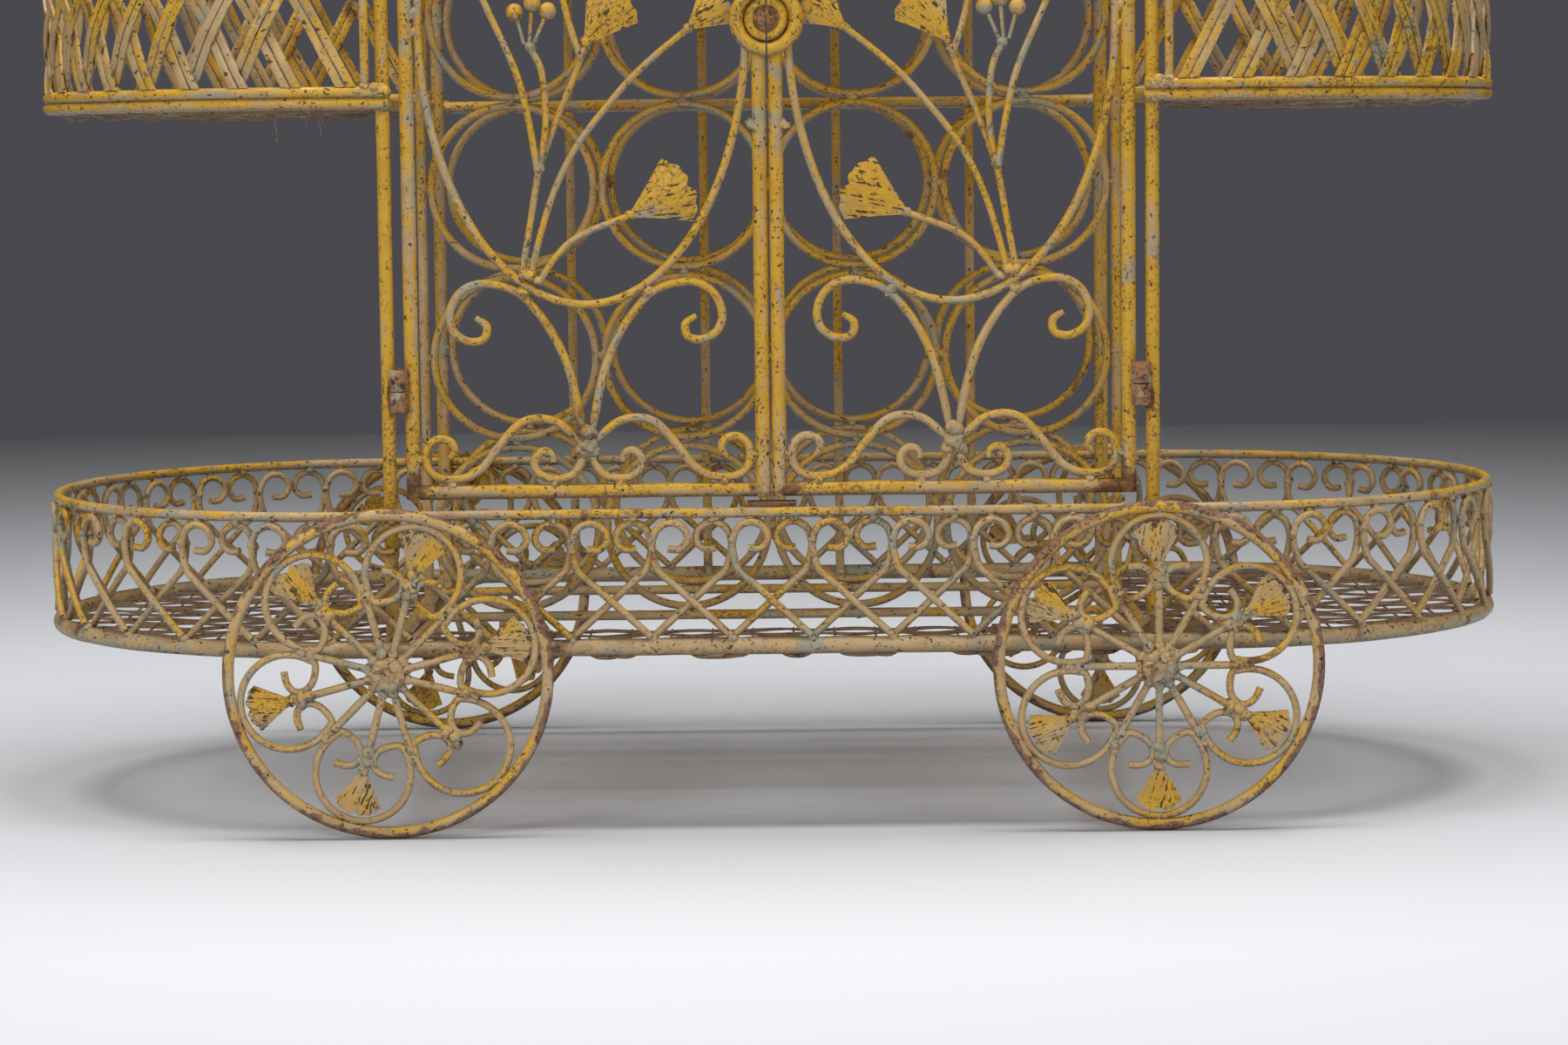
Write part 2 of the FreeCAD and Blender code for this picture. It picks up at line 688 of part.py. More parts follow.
def door(side, sign):
    """One door: frame, oval, scrolls, vines with leaves and berries, knuckles, lock half."""
    name = f"door_{side}"

    def spot(across, rise, out=0.0):
        return Vector(sign * (DOOR_MID - across), -CABINET_Y - out, DOOR_SILL + rise)

    def bent(points, dia, out=0.0, closed=False):
        return wire([spot(a, b, out) for a, b in points], dia, BACK, closed)

    height = size("door_height")
    half = DOOR_HALF_WIDTH
    frame = [spot(-half, 0), spot(half, 0), spot(half, height), spot(-half, height)]
    solids(f"{name}_frame", [wire(frame, 2 * DOOR_R, BACK, True, 6)])

    dia = size("door_scroll_dia")
    oval_half = half - DOOR_R - GAP - dia / 2 / math.cos(math.pi / 20)
    oval_rise = height / 2 - size("oval_margin")
    turns = [2 * math.pi * k / 20 for k in range(20)]
    oval = [(oval_half * math.cos(a), height / 2 + oval_rise * math.sin(a)) for a in turns]
    scrolls = [bent(oval, dia, 0.0, True)]
    low = DOOR_R + GAP + dia * 0.53
    edge = half - DOOR_R - GAP - dia * 0.56
    c_scroll = [(-64, 101.5), (-57, 94.5), (-67, 87.5), (-78, 96), (-76, 112), (-61, 121),
                (-38.9, 115.6), (-18.2, 89.5), (-7.7, 60.5), (-2.9, 35.9)]
    s_scroll = [(-82, 20.5), (-78, 27.5), (-87, 31), (-edge, 20), (-edge + 5, low + 2.5),
                (-78, low), (-63, low + 5), (-53, 25), (-41, 38.5), (-28, 42.5),
                (-16.6, 40), (-9.8, 33)]
    curl = [(-2.7, 22.9), (-8.5, low + 2), (-19, low), (-29, 11), (-31, 18), (-24, 21.5)]
    for mirror in (1, -1):
        for path in (c_scroll, s_scroll, curl):
            points = [(mirror * a, b) for a, b in path]
            scrolls.append(bent(points, dia))
            scrolls.append(bent([(a, height - b) for a, b in points], dia))
    beads = size("weld_bead_radius")
    scrolls.append(bead(spot(0, 29), beads))
    scrolls.append(bead(spot(0, height - 29), beads))
    solids(f"{name}_scrollwork", scrolls)

    vine = size("vine_dia")
    layer = vine + GAP
    stem = [(-36.4, 127.6), (-25.3, 190.5), (-21.6, 222.5), (-24.2, 245.5), (-30, 257.5)]
    lock_stem = [(-32, 124.0), (-24, 154.5), (-13, 183.5), (2.3, 208.5), (27, 237.5), (60.5, 266)]
    low_stem = [(-27.2, 121.0), (-11, 142.5), (1, 150), (26, 159.4)]
    wires = [
        bent(stem, vine),
        bent([(-26.5, 186), (-36.4, 237.5), (-42, 252.5), (-56, 284), (-64, 314)], vine, layer),
        bent([(-26, 186), (-15.6, 215), (-6, 237.5), (1.5, 258)], vine, -layer),
        bent([(-1, 251), (-11, 286)], vine),
        bent(lock_stem, vine),
        bent(low_stem, vine),
    ]
    berry = size("berry_radius")
    for foot, top in (((-33.2, 258.8), (-37, 272.6)), ((-30.2, 258.9), (-28.6, 277.6)),
                      ((-27.2, 259.9), (-21.4, 273.2))):
        wires.append(bent([foot, top], vine * 0.6))
        lean = (top[0] - foot[0]) / (top[1] - foot[1])
        centre = (top[0] + lean * berry, top[1] + berry + GAP)
        wires.append(bead(spot(*centre), berry))
    solids(f"{name}_vines", wires)

    thick = size("leaf_thickness")
    leaves = []
    for root, turn, share, out in (((26.6, 159.8), 28.0, 1.0, 0.0), ((61.2, 266.6), 40.0, 0.7, 0.0),
                                   ((1.8, 258.8), 55.0, 0.9, -layer), ((-64.5, 315), 112.0, 0.8, layer),
                                   ((-11.3, 287), 100.0, 0.7, 0.0)):
        angle = math.radians(turn)

        def leaf_spot(along, aside):
            across = root[0] + along * math.cos(angle) - aside * math.sin(angle)
            rise = root[1] + along * math.sin(angle) + aside * math.cos(angle)
            return spot(across, rise, out + thick / 2)

        corners = fan_leaf(leaf_spot, share * size("door_leaf_length"),
                           share * size("door_leaf_width"))
        leaves.append(plate(corners, BACK * thick))
    solids(f"{name}_leaves", leaves)

    knuckles = []
    for number, level in enumerate(HINGE_HEIGHTS, start=1):
        knuckles.append(knuckle(f"{name}_knuckle_{number}", sign, level + GAP / 2))
    group(f"{name}_knuckles", knuckles)
    lock_half(name, sign)


def knuckle(name, sign, foot):
    place = (f"{sign} * dims.hinge_x", "dims.hinge_y", repr(foot))
    shell = bar(f"{name}_shell", 8, "dims.knuckle_radius", "dims.knuckle_length", place)
    bore = bar(f"{name}_bore", 6, "(dims.hinge_pin_dia / 2 + dims.pin_clearance) / dims.hex_flat",
               "dims.knuckle_length", place)
    cut = doc.addObject("Part::Cut", name)
    cut.Base = shell
    cut.Tool = bore
    return cut


def lock_half(name, sign):
    """The door's half of the round lock plate, in front of its meeting stile."""
    rod_r = size("lock_rod_dia") / 2
    out = (DOOR_R + rod_r) * HEX_FLAT + GAP
    centre = (0.0, LOCK_Z)

    def spot(across, up):
        return Vector(sign * -across, -CABINET_Y - out, up)

    ring_r = size("lock_ring_dia") / 2 - rod_r
    curl_r = ring_r - rod_r - 2 * GAP - size("lock_curl_dia") / 2
    ring = [spot(*p) for p in arc(centre, ring_r, 97.0, 263.0, 6)]
    curl_path = [spot(*p) for p in arc(centre, curl_r, 105.0, 255.0, 4)]
    eye_r = curl_r - size("lock_curl_dia") / 2 - GAP
    eye_edge = size("door_meeting_gap") / 2 + GAP
    eye = [(-eye_edge, LOCK_Z - 0.95 * eye_r), (-eye_edge, LOCK_Z + 0.95 * eye_r),
           (-0.7 * eye_r, LOCK_Z + 0.68 * eye_r), (-eye_r, LOCK_Z), (-0.7 * eye_r, LOCK_Z - 0.68 * eye_r)]
    eye_corners = [spot(*p) - BACK * rod_r / 2 for p in eye]
    solids(f"{name}_lock", [
        wire(ring, 2 * rod_r, BACK, sides=6),
        wire(curl_path, size("lock_curl_dia")),
        plate(eye_corners, BACK * rod_r),
    ])


def hinges():
    lower = []
    pins = []
    length = size("knuckle_length")
    for side, sign in (("left", -1), ("right", 1)):
        for number, level in enumerate(HINGE_HEIGHTS, start=1):
            foot = level - GAP / 2 - length
            lower.append(knuckle(f"post_knuckle_{side}_{number}", sign, foot))
            place = (f"{sign} * dims.hinge_x", "dims.hinge_y", repr(foot))
            pins.append(bar(f"pin_{side}_{number}", 6, "dims.hinge_pin_dia / 2",
                            "2 * dims.knuckle_length + 1", place))
    group("post_knuckles", lower)
    group("hinge_pins", pins)


# ---------------------------------------------------------------- baskets

def basket(side, sign):
    """A half-round side basket: stacked base rods, rim, leaning splints, woven floor."""
    name = f"basket_{side}"
    start = POST_X - POST_R
    change = BASKET_END - END_R

    def run(level):
        points = [Vector(start, -BASKET_END, level)]
        points += outline(change, level, ("right",))
        points.append(Vector(start, BASKET_END, level))
        return [Vector(sign * p.x, p.y, p.z) for p in points]

    flat = BASKET_R * HEX_FLAT
    second = BASKET_Z + 2 * flat + GAP
    levels = (BASKET_Z, second, BASKET_RIM_Z)
    rods = [wire(run(level), 2 * BASKET_R, UP, sides=6) for level in levels]
    low = second + flat + GAP
    high = BASKET_RIM_Z - flat - GAP
    upright_x = sign * (POST_X + POST_R + size("upright_dia") + GAP)
    for y in (-BASKET_END, BASKET_END):
        ends = [Vector(upright_x, y, low), Vector(upright_x, y, high)]
        rods.append(wire(ends, size("upright_dia"), BACK, sides=6))
    solids(f"{name}_frame", rods)

    pairs = int(size("basket_pairs"))
    first = abs(upright_x) + size("upright_dia") - HALF
    usable = math.pi * END_R - 2 * first
    lean_run = (high - low) / math.tan(math.radians(size("splint_lean")))
    width = size("splint_width") / math.sin(math.radians(size("splint_lean")))
    thick = size("splint_thickness")
    for layer, way, out in (("outer", 1, 0.8 * thick), ("inner", -1, -0.8 * thick)):
        splints = []
        for pair in range(pairs):
            middle = HALF + first + lean_run / 2 + width + (usable - lean_run - 2 * width) * pair / (pairs - 1)
            for offset in (-0.6 * width, 0.6 * width):
                foot = around(middle + offset - way * lean_run / 2, change + out, low)
                head = around(middle + offset + way * lean_run / 2, change + out, high)
                ahead = around(middle + offset + 1.0, 0.0, 0.0) - around(middle + offset, 0.0, 0.0)
                splints.append(slat(foot, head, ahead.normalize(), width, thick, sign))
        solids(f"{name}_splints_{layer}", splints)
    cross = size("middle_rail_dia") / 2
    end_floor(f"{name}_weave", sign, POST_X + cross + GAP, BASKET_R - change, BASKET_Z)


def slat(foot, head, ahead, width, thick, sign):
    """A leaning splint with level ends."""
    outward = ahead.cross(UP).normalize()
    def ends(point):
        offsets = ((-1, -1), (1, -1), (1, 1), (-1, 1))
        corners = [point + ahead * (a * width / 2) + outward * (b * thick / 2) for a, b in offsets]
        return [Vector(sign * c.x, c.y, c.z) for c in corners]

    low = ends(foot)
    high = ends(head)
    faces = [polygon_face(low[::-1]), polygon_face(high)]
    for k in range(4):
        m = (k + 1) % 4
        faces.append(polygon_face([low[k], low[m], high[m], high[k]]))
    solid = Part.Solid(Part.Shell(faces))
    return solid if solid.Volume > 0 else solid.reversed()


# ---------------------------------------------------------------- assembly

def build():
    tray_rails()
    gallery()
    tray_floors()
    tray_rods()
    posts()
    cabinet_rails()
    deck()
    shelf()
    rack()
    hinges()
    for side, sign in (("left", -1), ("right", 1)):
        basket(side, sign)
        door(side, sign)
    wheelsets()


def check():
    doc.recompute()
    for item in doc.Objects:
        if "Invalid" in item.State or "Error" in item.State:
            raise RuntimeError(f"{item.Label} did not build: {item.State}")
    for item in PARTS:
        if item.Shape.isNull() or not item.Shape.isValid():
            raise RuntimeError(f"{item.Label} has no valid shape")
        if any(solid.Volume <= 0 for solid in item.Shape.Solids):
            raise RuntimeError(f"{item.Label} holds a solid turned inside out")


def export():
    os.makedirs("parts", exist_ok=True)
    for item in PARTS:
        item.Shape.exportStep(f"parts/{item.Label}.step")
    print(f"{len(PARTS)} sub-parts, {sum(len(item.Shape.Solids) for item in PARTS)} solids")


build()
check()
export()
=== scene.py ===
import contextlib
import json
import math

import bpy
from mathutils import Matrix, Vector, kdtree, noise


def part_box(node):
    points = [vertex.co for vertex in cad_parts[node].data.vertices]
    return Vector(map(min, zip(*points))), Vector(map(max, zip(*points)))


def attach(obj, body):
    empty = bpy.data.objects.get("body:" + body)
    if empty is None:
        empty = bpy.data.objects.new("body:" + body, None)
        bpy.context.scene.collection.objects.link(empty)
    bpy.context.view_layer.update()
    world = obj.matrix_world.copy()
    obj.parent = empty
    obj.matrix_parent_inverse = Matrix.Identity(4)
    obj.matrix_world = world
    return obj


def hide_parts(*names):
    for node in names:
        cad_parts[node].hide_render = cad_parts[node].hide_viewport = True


bl_info = {
    "name": "Wire trolley",
    "version": (1, 0, 0),
    "blender": (4, 5, 0),
    "location": "3D View > Sidebar > Trolley",
    "description": "Builds the painted wires, leaves, twig floors and wheels of a cheese trolley",
    "category": "Object",
}

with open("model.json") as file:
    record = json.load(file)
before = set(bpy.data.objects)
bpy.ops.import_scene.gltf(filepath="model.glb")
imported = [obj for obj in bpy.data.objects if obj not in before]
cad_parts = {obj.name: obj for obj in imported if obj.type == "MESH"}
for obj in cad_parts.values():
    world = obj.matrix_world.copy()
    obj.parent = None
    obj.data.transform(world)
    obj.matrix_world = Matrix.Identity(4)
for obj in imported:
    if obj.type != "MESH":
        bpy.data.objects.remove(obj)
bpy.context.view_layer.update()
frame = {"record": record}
RECORD = frame["record"]
BODY_OF = {node: body for body, nodes in RECORD["behaviour"]["bodies"].items() for node in nodes}
SLOT_OF = {row["node"]: row["material_slot"] for row in RECORD["subparts"]}
# noise_vector starts from the clock unless it is given a seed
noise.seed_set(1)

# Places are in millimetres and turn into metres where a mesh is made.
MM = 0.001
BACK = Vector((0, 1, 0))
SIDES = (("left", -1), ("right", 1))

# the tray's outline: two half circles joined by straights of twice HALF
HALF = 246.0
END_R = 200.0
TRAY_RUN = 4 * HALF + 2 * math.pi * END_R
TRAY_Z = 107.53
GALLERY_Z = 185.53
HEARTS = 48
HEART_PITCH = TRAY_RUN / HEARTS

# the cabinet and its bottle rack
POST_X = 222.0
CABINET_Y = 191.2
POST_FOOT = 111.3
POST_TOP = 747.9
TOP_Z = 751.63
MIDDLE_Z = 424.03
BACK_BARS = (-133.8, -44.6, 44.6, 133.8)
BACK_BAR_Y = 192.1
RACK_YS = (-65.0, 75.0)
RACK_PITCH = 104.0
RACK_FOOT = 113.43
RACK_TOP_Z = 532.03
SHELF_Z = 537.52
SLATS = 9
STRIP = (400.0, 40.0)

# the doors and their hinges
DOOR_SILL = 198.38
DOOR_HEIGHT = 543.0
DOOR_MID = 106.45
DOOR_HALF = 101.7
LOCK_Z = DOOR_SILL + DOOR_HEIGHT / 2
LOCK_GAP = 0.55
HINGE_X = 215.075
HINGE_Y = -198.0065
HINGE_LEVELS = (257.88, 681.88)
KNUCKLE = 12.4
KNUCKLE_GAP = 0.15
LAYER_GAP = 0.3

# the baskets and the wheels
BASKET_END = 199.0
BASKET_RIM_Z = 564.03
STAKE_X = 231.3
SPLINT_PAIRS = 19
SPLINT_LEAN = math.radians(62.0)
WHEEL_X = 222.5
WHEEL_Y = 222.0
AXLE_Z = 96.0

# each wire's paint starts this much further along the pattern than the one before it
PAINT_SHIFT = 3.7


# ---------------------------------------------------------------- what a user may change

def tone(red, green, blue):
    """A colour written as 0-255 screen values, as the linear colour that Blender keeps."""
    def linear(value):
        share = value / 255
        return share / 12.92 if share <= 0.04045 else ((share + 0.055) / 1.055) ** 2.4
    return (linear(red), linear(green), linear(blue), 1.0)


def length(name, millimetres, description):
    return bpy.props.FloatProperty(
        name=name, description=description, default=millimetres * MM, min=0.0001,
        unit="LENGTH", subtype="DISTANCE", precision=4)


def colour(name, screen, description):
    return bpy.props.FloatVectorProperty(
        name=name, description=description, default=tone(*screen), size=4,
        min=0.0, max=1.0, subtype="COLOR")


class TrolleySizes(bpy.types.PropertyGroup):
    tray_rail: length("Tray rail", 10, "Diameter of the rail round the tray's floor")
    gallery_rail: length("Gallery rail", 6, "Diameter of the rail on the hearts")
    heart_wire: length("Heart wire", 4.4, "Diameter of the wires bent into hearts")
    post: length("Post", 8, "Diameter of the cabinet's posts and rails")
    back_bar: length("Back bar", 6, "Diameter of the bars at the back")
    rack_rod: length("Rack rod", 6, "Diameter of the rods that carry the bottle rings")
    rack_wire: length("Rack ring", 5, "Diameter of the wire of a bottle ring")
    door_rod: length("Door frame", 8.5, "Diameter of the doors' outer rods")
    door_scroll: length("Door scroll", 5, "Diameter of the doors' oval and scrolls")
    vine: length("Vine", 4, "Diameter of the stems in the doors")
    basket_rod: length("Basket rod", 7, "Diameter of the baskets' base and rim rods")
    splint_width: length("Splint width", 5, "Width of a basket splint")
    splint_thickness: length("Splint thickness", 2, "Thickness of a basket splint")
    twig: length("Twig", 1.5, "Diameter of the twigs in the woven floors")
    rim: length("Wheel rim", 7, "Diameter of the rod of a wheel's rim")
    spoke: length("Spoke", 4.5, "Diameter of a spoke")
    wheel_scroll: length("Wheel scroll", 4.3, "Diameter of the scrolls in a wheel")
    axle: length("Axle", 10, "Diameter of an axle")


class TrolleyColours(bpy.types.PropertyGroup):
    top_coat: colour("Top coat", (234, 182, 54), "The last, yellow coat of paint")
    base_coat: colour("Base coat", (214, 182, 132), "The buff coat under the yellow one")
    undercoat: colour("Undercoat", (174, 172, 150), "Grey-green paint that shows in worn places")
    chip: colour("Chip", (52, 34, 22), "Bare dark metal in the chips")
    rust: colour("Rust", (136, 88, 60), "Rust on the wires and welds")
    rim_rust: colour("Rim rust", (148, 110, 94), "Purple-brown rust on the wheels' treads")
    hinge_rust: colour("Hinge rust", (172, 118, 74), "Copper-brown rust on the hinges")
    twig: colour("Twig", (138, 108, 80), "Brown twigs of the woven floors")
    floor: colour("Floor", (236, 238, 242), "Studio floor round the trolley")
    backdrop: colour("Backdrop", (74, 73, 78), "Studio wall behind the floor")


def size(name):
    """One of the user's sizes, in millimetres."""
    return getattr(bpy.context.scene.trolley_sizes, name) / MM


# ---------------------------------------------------------------- lines

def polar(centre, radius, degrees):
    angle = math.radians(degrees)
    return (centre[0] + radius * math.cos(angle), centre[1] + radius * math.sin(angle))


def arc(centre, radius, start, end, steps):
    return [polar(centre, radius, start + (end - start) * k / steps) for k in range(steps + 1)]


def straight(start, end, step):
    count = max(2, math.ceil((end - start).length / step))
    return [start.lerp(end, k / count) for k in range(count + 1)]


def smooth(points, step):
    """A rounded line through the points, with a point about every step."""
    points = [Vector(p) for p in points]
    points = [points[0] * 2 - points[1], *points, points[-1] * 2 - points[-2]]
    line = []
    for before, here, after, beyond in zip(points, points[1:], points[2:], points[3:]):
        lead, run, tail = (gap.length ** 0.5 for gap in
                           (here - before, after - here, beyond - after))
        leave = ((here - before) / lead - (after - before) / (lead + run)
                 + (after - here) / run) * run
        reach = ((after - here) / run - (beyond - here) / (run + tail)
                 + (beyond - after) / tail) * run
        pieces = max(1, math.ceil((after - here).length / step))
        for t in (k / pieces for k in range(pieces)):
            line.append(here * (2 * t**3 - 3 * t**2 + 1) + after * (3 * t**2 - 2 * t**3)
                        + leave * (t**3 - 2 * t**2 + t) + reach * (t**3 - t**2))
    return line + [points[-2]]


def around(run, out, level):
    """A point on the tray's outline, run along it from the front middle towards +X."""
    bend = math.pi * END_R
    reach = END_R + out
    run = (run + HALF) % TRAY_RUN
    if run < 2 * HALF:
        return Vector((run - HALF, -reach, level))
    run -= 2 * HALF
    if run < bend:
        return Vector((*polar((HALF, 0), reach, math.degrees(run / END_R) - 90), level))
    run -= bend
    if run < 2 * HALF:
        return Vector((HALF - run, reach, level))
    turn = 90 + math.degrees((run - 2 * HALF) / END_R)
    return Vector((*polar((-HALF, 0), reach, turn), level))


def cad_box(node):
    """The low and the high corner of a CAD node's box, in millimetres."""
    return [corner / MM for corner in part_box(node)]


# ---------------------------------------------------------------- the bench

def clear_selection():
    if bpy.context.object and bpy.context.object.mode != "OBJECT":
        bpy.ops.object.mode_set(mode="OBJECT")
    bpy.ops.object.select_all(action="DESELECT")


def fresh(add, **settings):
    """A new primitive, selected alone, with its place and turn in its mesh."""
    clear_selection()
    add(**settings)
    bpy.ops.object.transform_apply()
    return bpy.context.object


@contextlib.contextmanager
def editing():
    """Edit mode, with the whole mesh selected."""
    bpy.ops.object.mode_set(mode="EDIT")
    bpy.ops.mesh.select_all(action="SELECT")
    yield
    bpy.ops.object.mode_set(mode="OBJECT")


def taken(item):
    """Keeps a modelled shape's mesh for copying and puts its object away."""
    mesh = item.data
    bpy.data.objects.remove(item)
    return mesh


def note(mesh, name, values):
    """Writes a number on each of a mesh's points, for the paint to read."""
    if name not in mesh.attributes:
        mesh.attributes.new(name, "FLOAT", "POINT")
    mesh.attributes[name].data.foreach_set("value", values)


def noted(mesh, name):
    """The numbers on a mesh's points, or none."""
    return [entry.value for entry in mesh.attributes[name].data] if name in mesh.attributes else []


def search_tree(points):
    tree = kdtree.KDTree(max(1, len(points)))
    for number, point in enumerate(points):
        tree.insert(point, number)
    tree.balance()
    return tree


def lump_shapes():
    """Three uneven blobs of weld metal."""
    shapes = []
    for number in range(3):
        item = fresh(bpy.ops.mesh.primitive_ico_sphere_add, subdivisions=2, radius=1.0)
        for corner in item.data.vertices:
            corner.co *= 1 + 0.42 * noise.noise(corner.co * 1.6 + Vector((9.0 * number, 2, 0)))
        shapes.append(taken(item))
    return shapes


def lump_place(number, centre, radius):
    """The turn, stretch and move of one lump."""
    turn = Matrix.Rotation(2.4 * number, 4, "Z") @ Matrix.Rotation(1.7 * number, 4, "X")
    stretch = Matrix.Diagonal((radius, radius * 0.92, radius * (0.95 + 0.2 * (number % 3)), 1))
    return (Matrix.Translation(centre) @ turn @ stretch).__matmul__


class Bench:
    """Gathers the wires, lumps and shapes of one piece until it is complete."""

    lumps = None

    def __init__(self, node):
        self.node = node
        self.parts, self.line, self.welds = [], [], []

    def wires(self, wires, sides=10, sway=0.22):
        """Lays round wires, each (points, diameter) or (points, diameter, "closed"/"drawn")."""
        clear_selection()
        bpy.ops.curve.primitive_bezier_curve_add()
        curve = bpy.context.object.data
        curve.splines.clear()
        curve.dimensions = "3D"
        curve.twist_mode = "MINIMUM"
        curve.bevel_depth = MM / 2
        curve.bevel_resolution = sides // 2 - 2
        curve.use_fill_caps = True
        for number, (points, dia, *ways) in enumerate(wires):
            spline = curve.splines.new("POLY")
            spline.points.add(len(points) - 1)
            spline.use_cyclic_u = "closed" in ways
            run = PAINT_SHIFT * (number + len(self.line))
            last = points[0]
            for place, (knot, point) in enumerate(zip(spline.points, points)):
                run += (point - last).length * MM
                last = point
                wander = noise.noise_vector(point * 0.018) * sway
                knot.co = ((point + wander) * MM).to_4d()
                knot.radius = dia * (1 + 0.045 * noise.noise(point * 0.07))
                if "drawn" in ways:
                    left = min(place, len(points) - 1 - place)
                    knot.radius *= min(1.0, 0.66 + 0.085 * left)
                self.line.append((knot.co.to_3d(), run))
        bpy.ops.object.convert(target="MESH")
        self.parts.append(bpy.context.object)

    def copies(self, shapes, places):
        """One mesh of copies of the shapes. A place moves a shape's point to where it belongs."""
        corners, faces, marks = [], [], {"wear": [], "along": []}
        for number, place in enumerate(places):
            shape = shapes[number % len(shapes)]
            start = len(corners)
            corners += [place(v.co) * MM for v in shape.vertices]
            faces += [[start + i for i in face.vertices] for face in shape.polygons]
            for name, shift in (("wear", 0.0), ("along", PAINT_SHIFT * number)):
                marks[name] += [value + shift for value in noted(shape, name)]
        mesh = bpy.data.meshes.new(self.node)
        mesh.from_pydata(corners, [], faces)
        for name, values in marks.items():
            if values:
                note(mesh, name, values)
        item = bpy.data.objects.new(self.node, mesh)
        bpy.context.scene.collection.objects.link(item)
        self.parts.append(item)

    def weld(self, places):
        """Adds weld lumps, each (middle, radius)."""
        Bench.lumps = Bench.lumps or lump_shapes()
        self.copies(Bench.lumps, [lump_place(k, *place) for k, place in enumerate(places)])
        self.welds += [centre * MM for centre, radius in places]

    def complete(self, worn=None, reach=10.0, angle=50.0, coat=0.0, rusted=None):
        """Joins the parts into the piece that stands for the node.

        worn and rusted give a share at a point in millimetres; coat adds yellow or takes it away.
        """
        clear_selection()
        for part in self.parts:
            part.select_set(True)
        bpy.context.view_layer.objects.active = self.parts[0]
        if len(self.parts) > 1:
            bpy.ops.object.join()
        item = bpy.context.object
        item.name = item.data.name = f"{self.node}_finished"
        with editing():
            bpy.ops.mesh.remove_doubles(threshold=1e-6)
            bpy.ops.mesh.normals_make_consistent(inside=False)
        bpy.ops.object.shade_smooth_by_angle(angle=math.radians(angle))
        self.mark(item.data, worn, reach)
        spots = [vertex.co / MM for vertex in item.data.vertices]
        note(item.data, "rust", [min(1.0, rusted(spot)) if rusted else 0.0 for spot in spots])
        note(item.data, "coat", [coat] * len(spots))
        item.data.materials.clear()
        item.data.materials.append(bpy.data.materials[f"{SLOT_OF[self.node]}_finish"])
        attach(item, BODY_OF[self.node])
        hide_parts(self.node)

    def mark(self, mesh, worn, reach):
        """Notes the run along the wires and the wear beside the welds on each vertex."""
        runs, welds = search_tree([point for point, run in self.line]), search_tree(self.welds)
        wear = noted(mesh, "wear") or [0.0] * len(mesh.vertices)
        own = noted(mesh, "along")
        along = []
        for number, vertex in enumerate(mesh.vertices):
            if own and own[number]:
                along.append(own[number])
            elif self.line:
                along.append(self.line[runs.find(vertex.co)[1]][1])
            else:
                along.append(sum(vertex.co))
            if self.welds:
                near = 1.15 - welds.find(vertex.co)[2] / (reach * MM)
                wear[number] = max(wear[number], min(1.0, near))
            if worn:
                wear[number] = max(wear[number], min(1.0, worn(vertex.co / MM)))
        note(mesh, "wear", wear)
        note(mesh, "along", along)


def piece(node, wires, sides, sway, welds=(), **finish):
    """A piece of wires with weld lumps at their joints."""
    bench = Bench(node)
    bench.wires(wires, sides, sway)
    if welds:
        bench.weld(welds)
    bench.complete(**finish)


# ---------------------------------------------------------------- paint

class Graph:
    """Places nodes in one tree and joins them."""

    def __init__(self, tree):
        self.tree = tree

    def add(self, kind, links=(), **settings):
        node = self.tree.nodes.new(f"ShaderNode{kind}")
        for key, value in settings.items():
            setattr(node, key, value)
        for socket, source in dict(links).items():
            self.put(node.inputs[socket], source)
        return node

    def put(self, socket, source):
        if isinstance(source, bpy.types.NodeSocket):
            self.tree.links.new(source, socket)
        else:
            socket.default_value = source

    def math(self, operation, *values):
        node = self.add("Math", enumerate(values), operation=operation)
        return node.outputs[0]

    def rise(self, value, low, high):
        """0 below low, 1 above high, and a soft step between."""
        node = self.add("MapRange", {0: value, 1: low, 2: high}, interpolation_type="SMOOTHSTEP")
        return node.outputs[0]

    def gather(self, start, *parts):
        """The start with each (value, weight) added to it in turn."""
        for value, weight in parts:
            start = self.math("MULTIPLY_ADD", value, weight, start)
        return start

    def noise(self, vector, scale, detail, run=None):
        """Noise in space or, with a run, noise that also changes along the wires."""
        kind = {} if run is None else {"noise_dimensions": "4D"}
        node = self.add("TexNoise", **kind)
        links = {"Vector": vector, "Scale": scale, "Detail": detail, "Roughness": 0.58}
        if run is not None:
            links["W"] = run
        for socket, source in links.items():
            self.put(node.inputs[socket], source)
        return node.outputs[0]

    def mix(self, share, first, second):
        node = self.add("Mix", {0: share, 6: first, 7: second}, data_type="RGBA")
        return node.outputs[2]

    def lay(self, under, over, mask, amount):
        """Lays a colour over another by an amount of the mask."""
        return self.mix(self.math("MULTIPLY", mask, amount), under, over)


PAINT_COLOURS = ("Top coat", "Base coat", "Undercoat", "Chip", "Rust")
PAINT_SHARES = ("Top coat share", "Chip share", "Rust share", "Undercoat share", "Rust where worn")
MARKS = ("along", "wear", "coat", "rust")

# colours that the coats turn to in their darker places
DEEP_YELLOW = (0.55, 0.27, 0.02, 1.0)
DARK_BUFF = (0.33, 0.19, 0.075, 1.0)
BURNT_RUST = (0.06, 0.025, 0.018, 1.0)
DIRT = (0.12, 0.07, 0.035, 1.0)
# a dark brown that stands for the shade on the undersides
UNDERSIDE_SHADE = (0.085, 0.052, 0.028, 1.0)


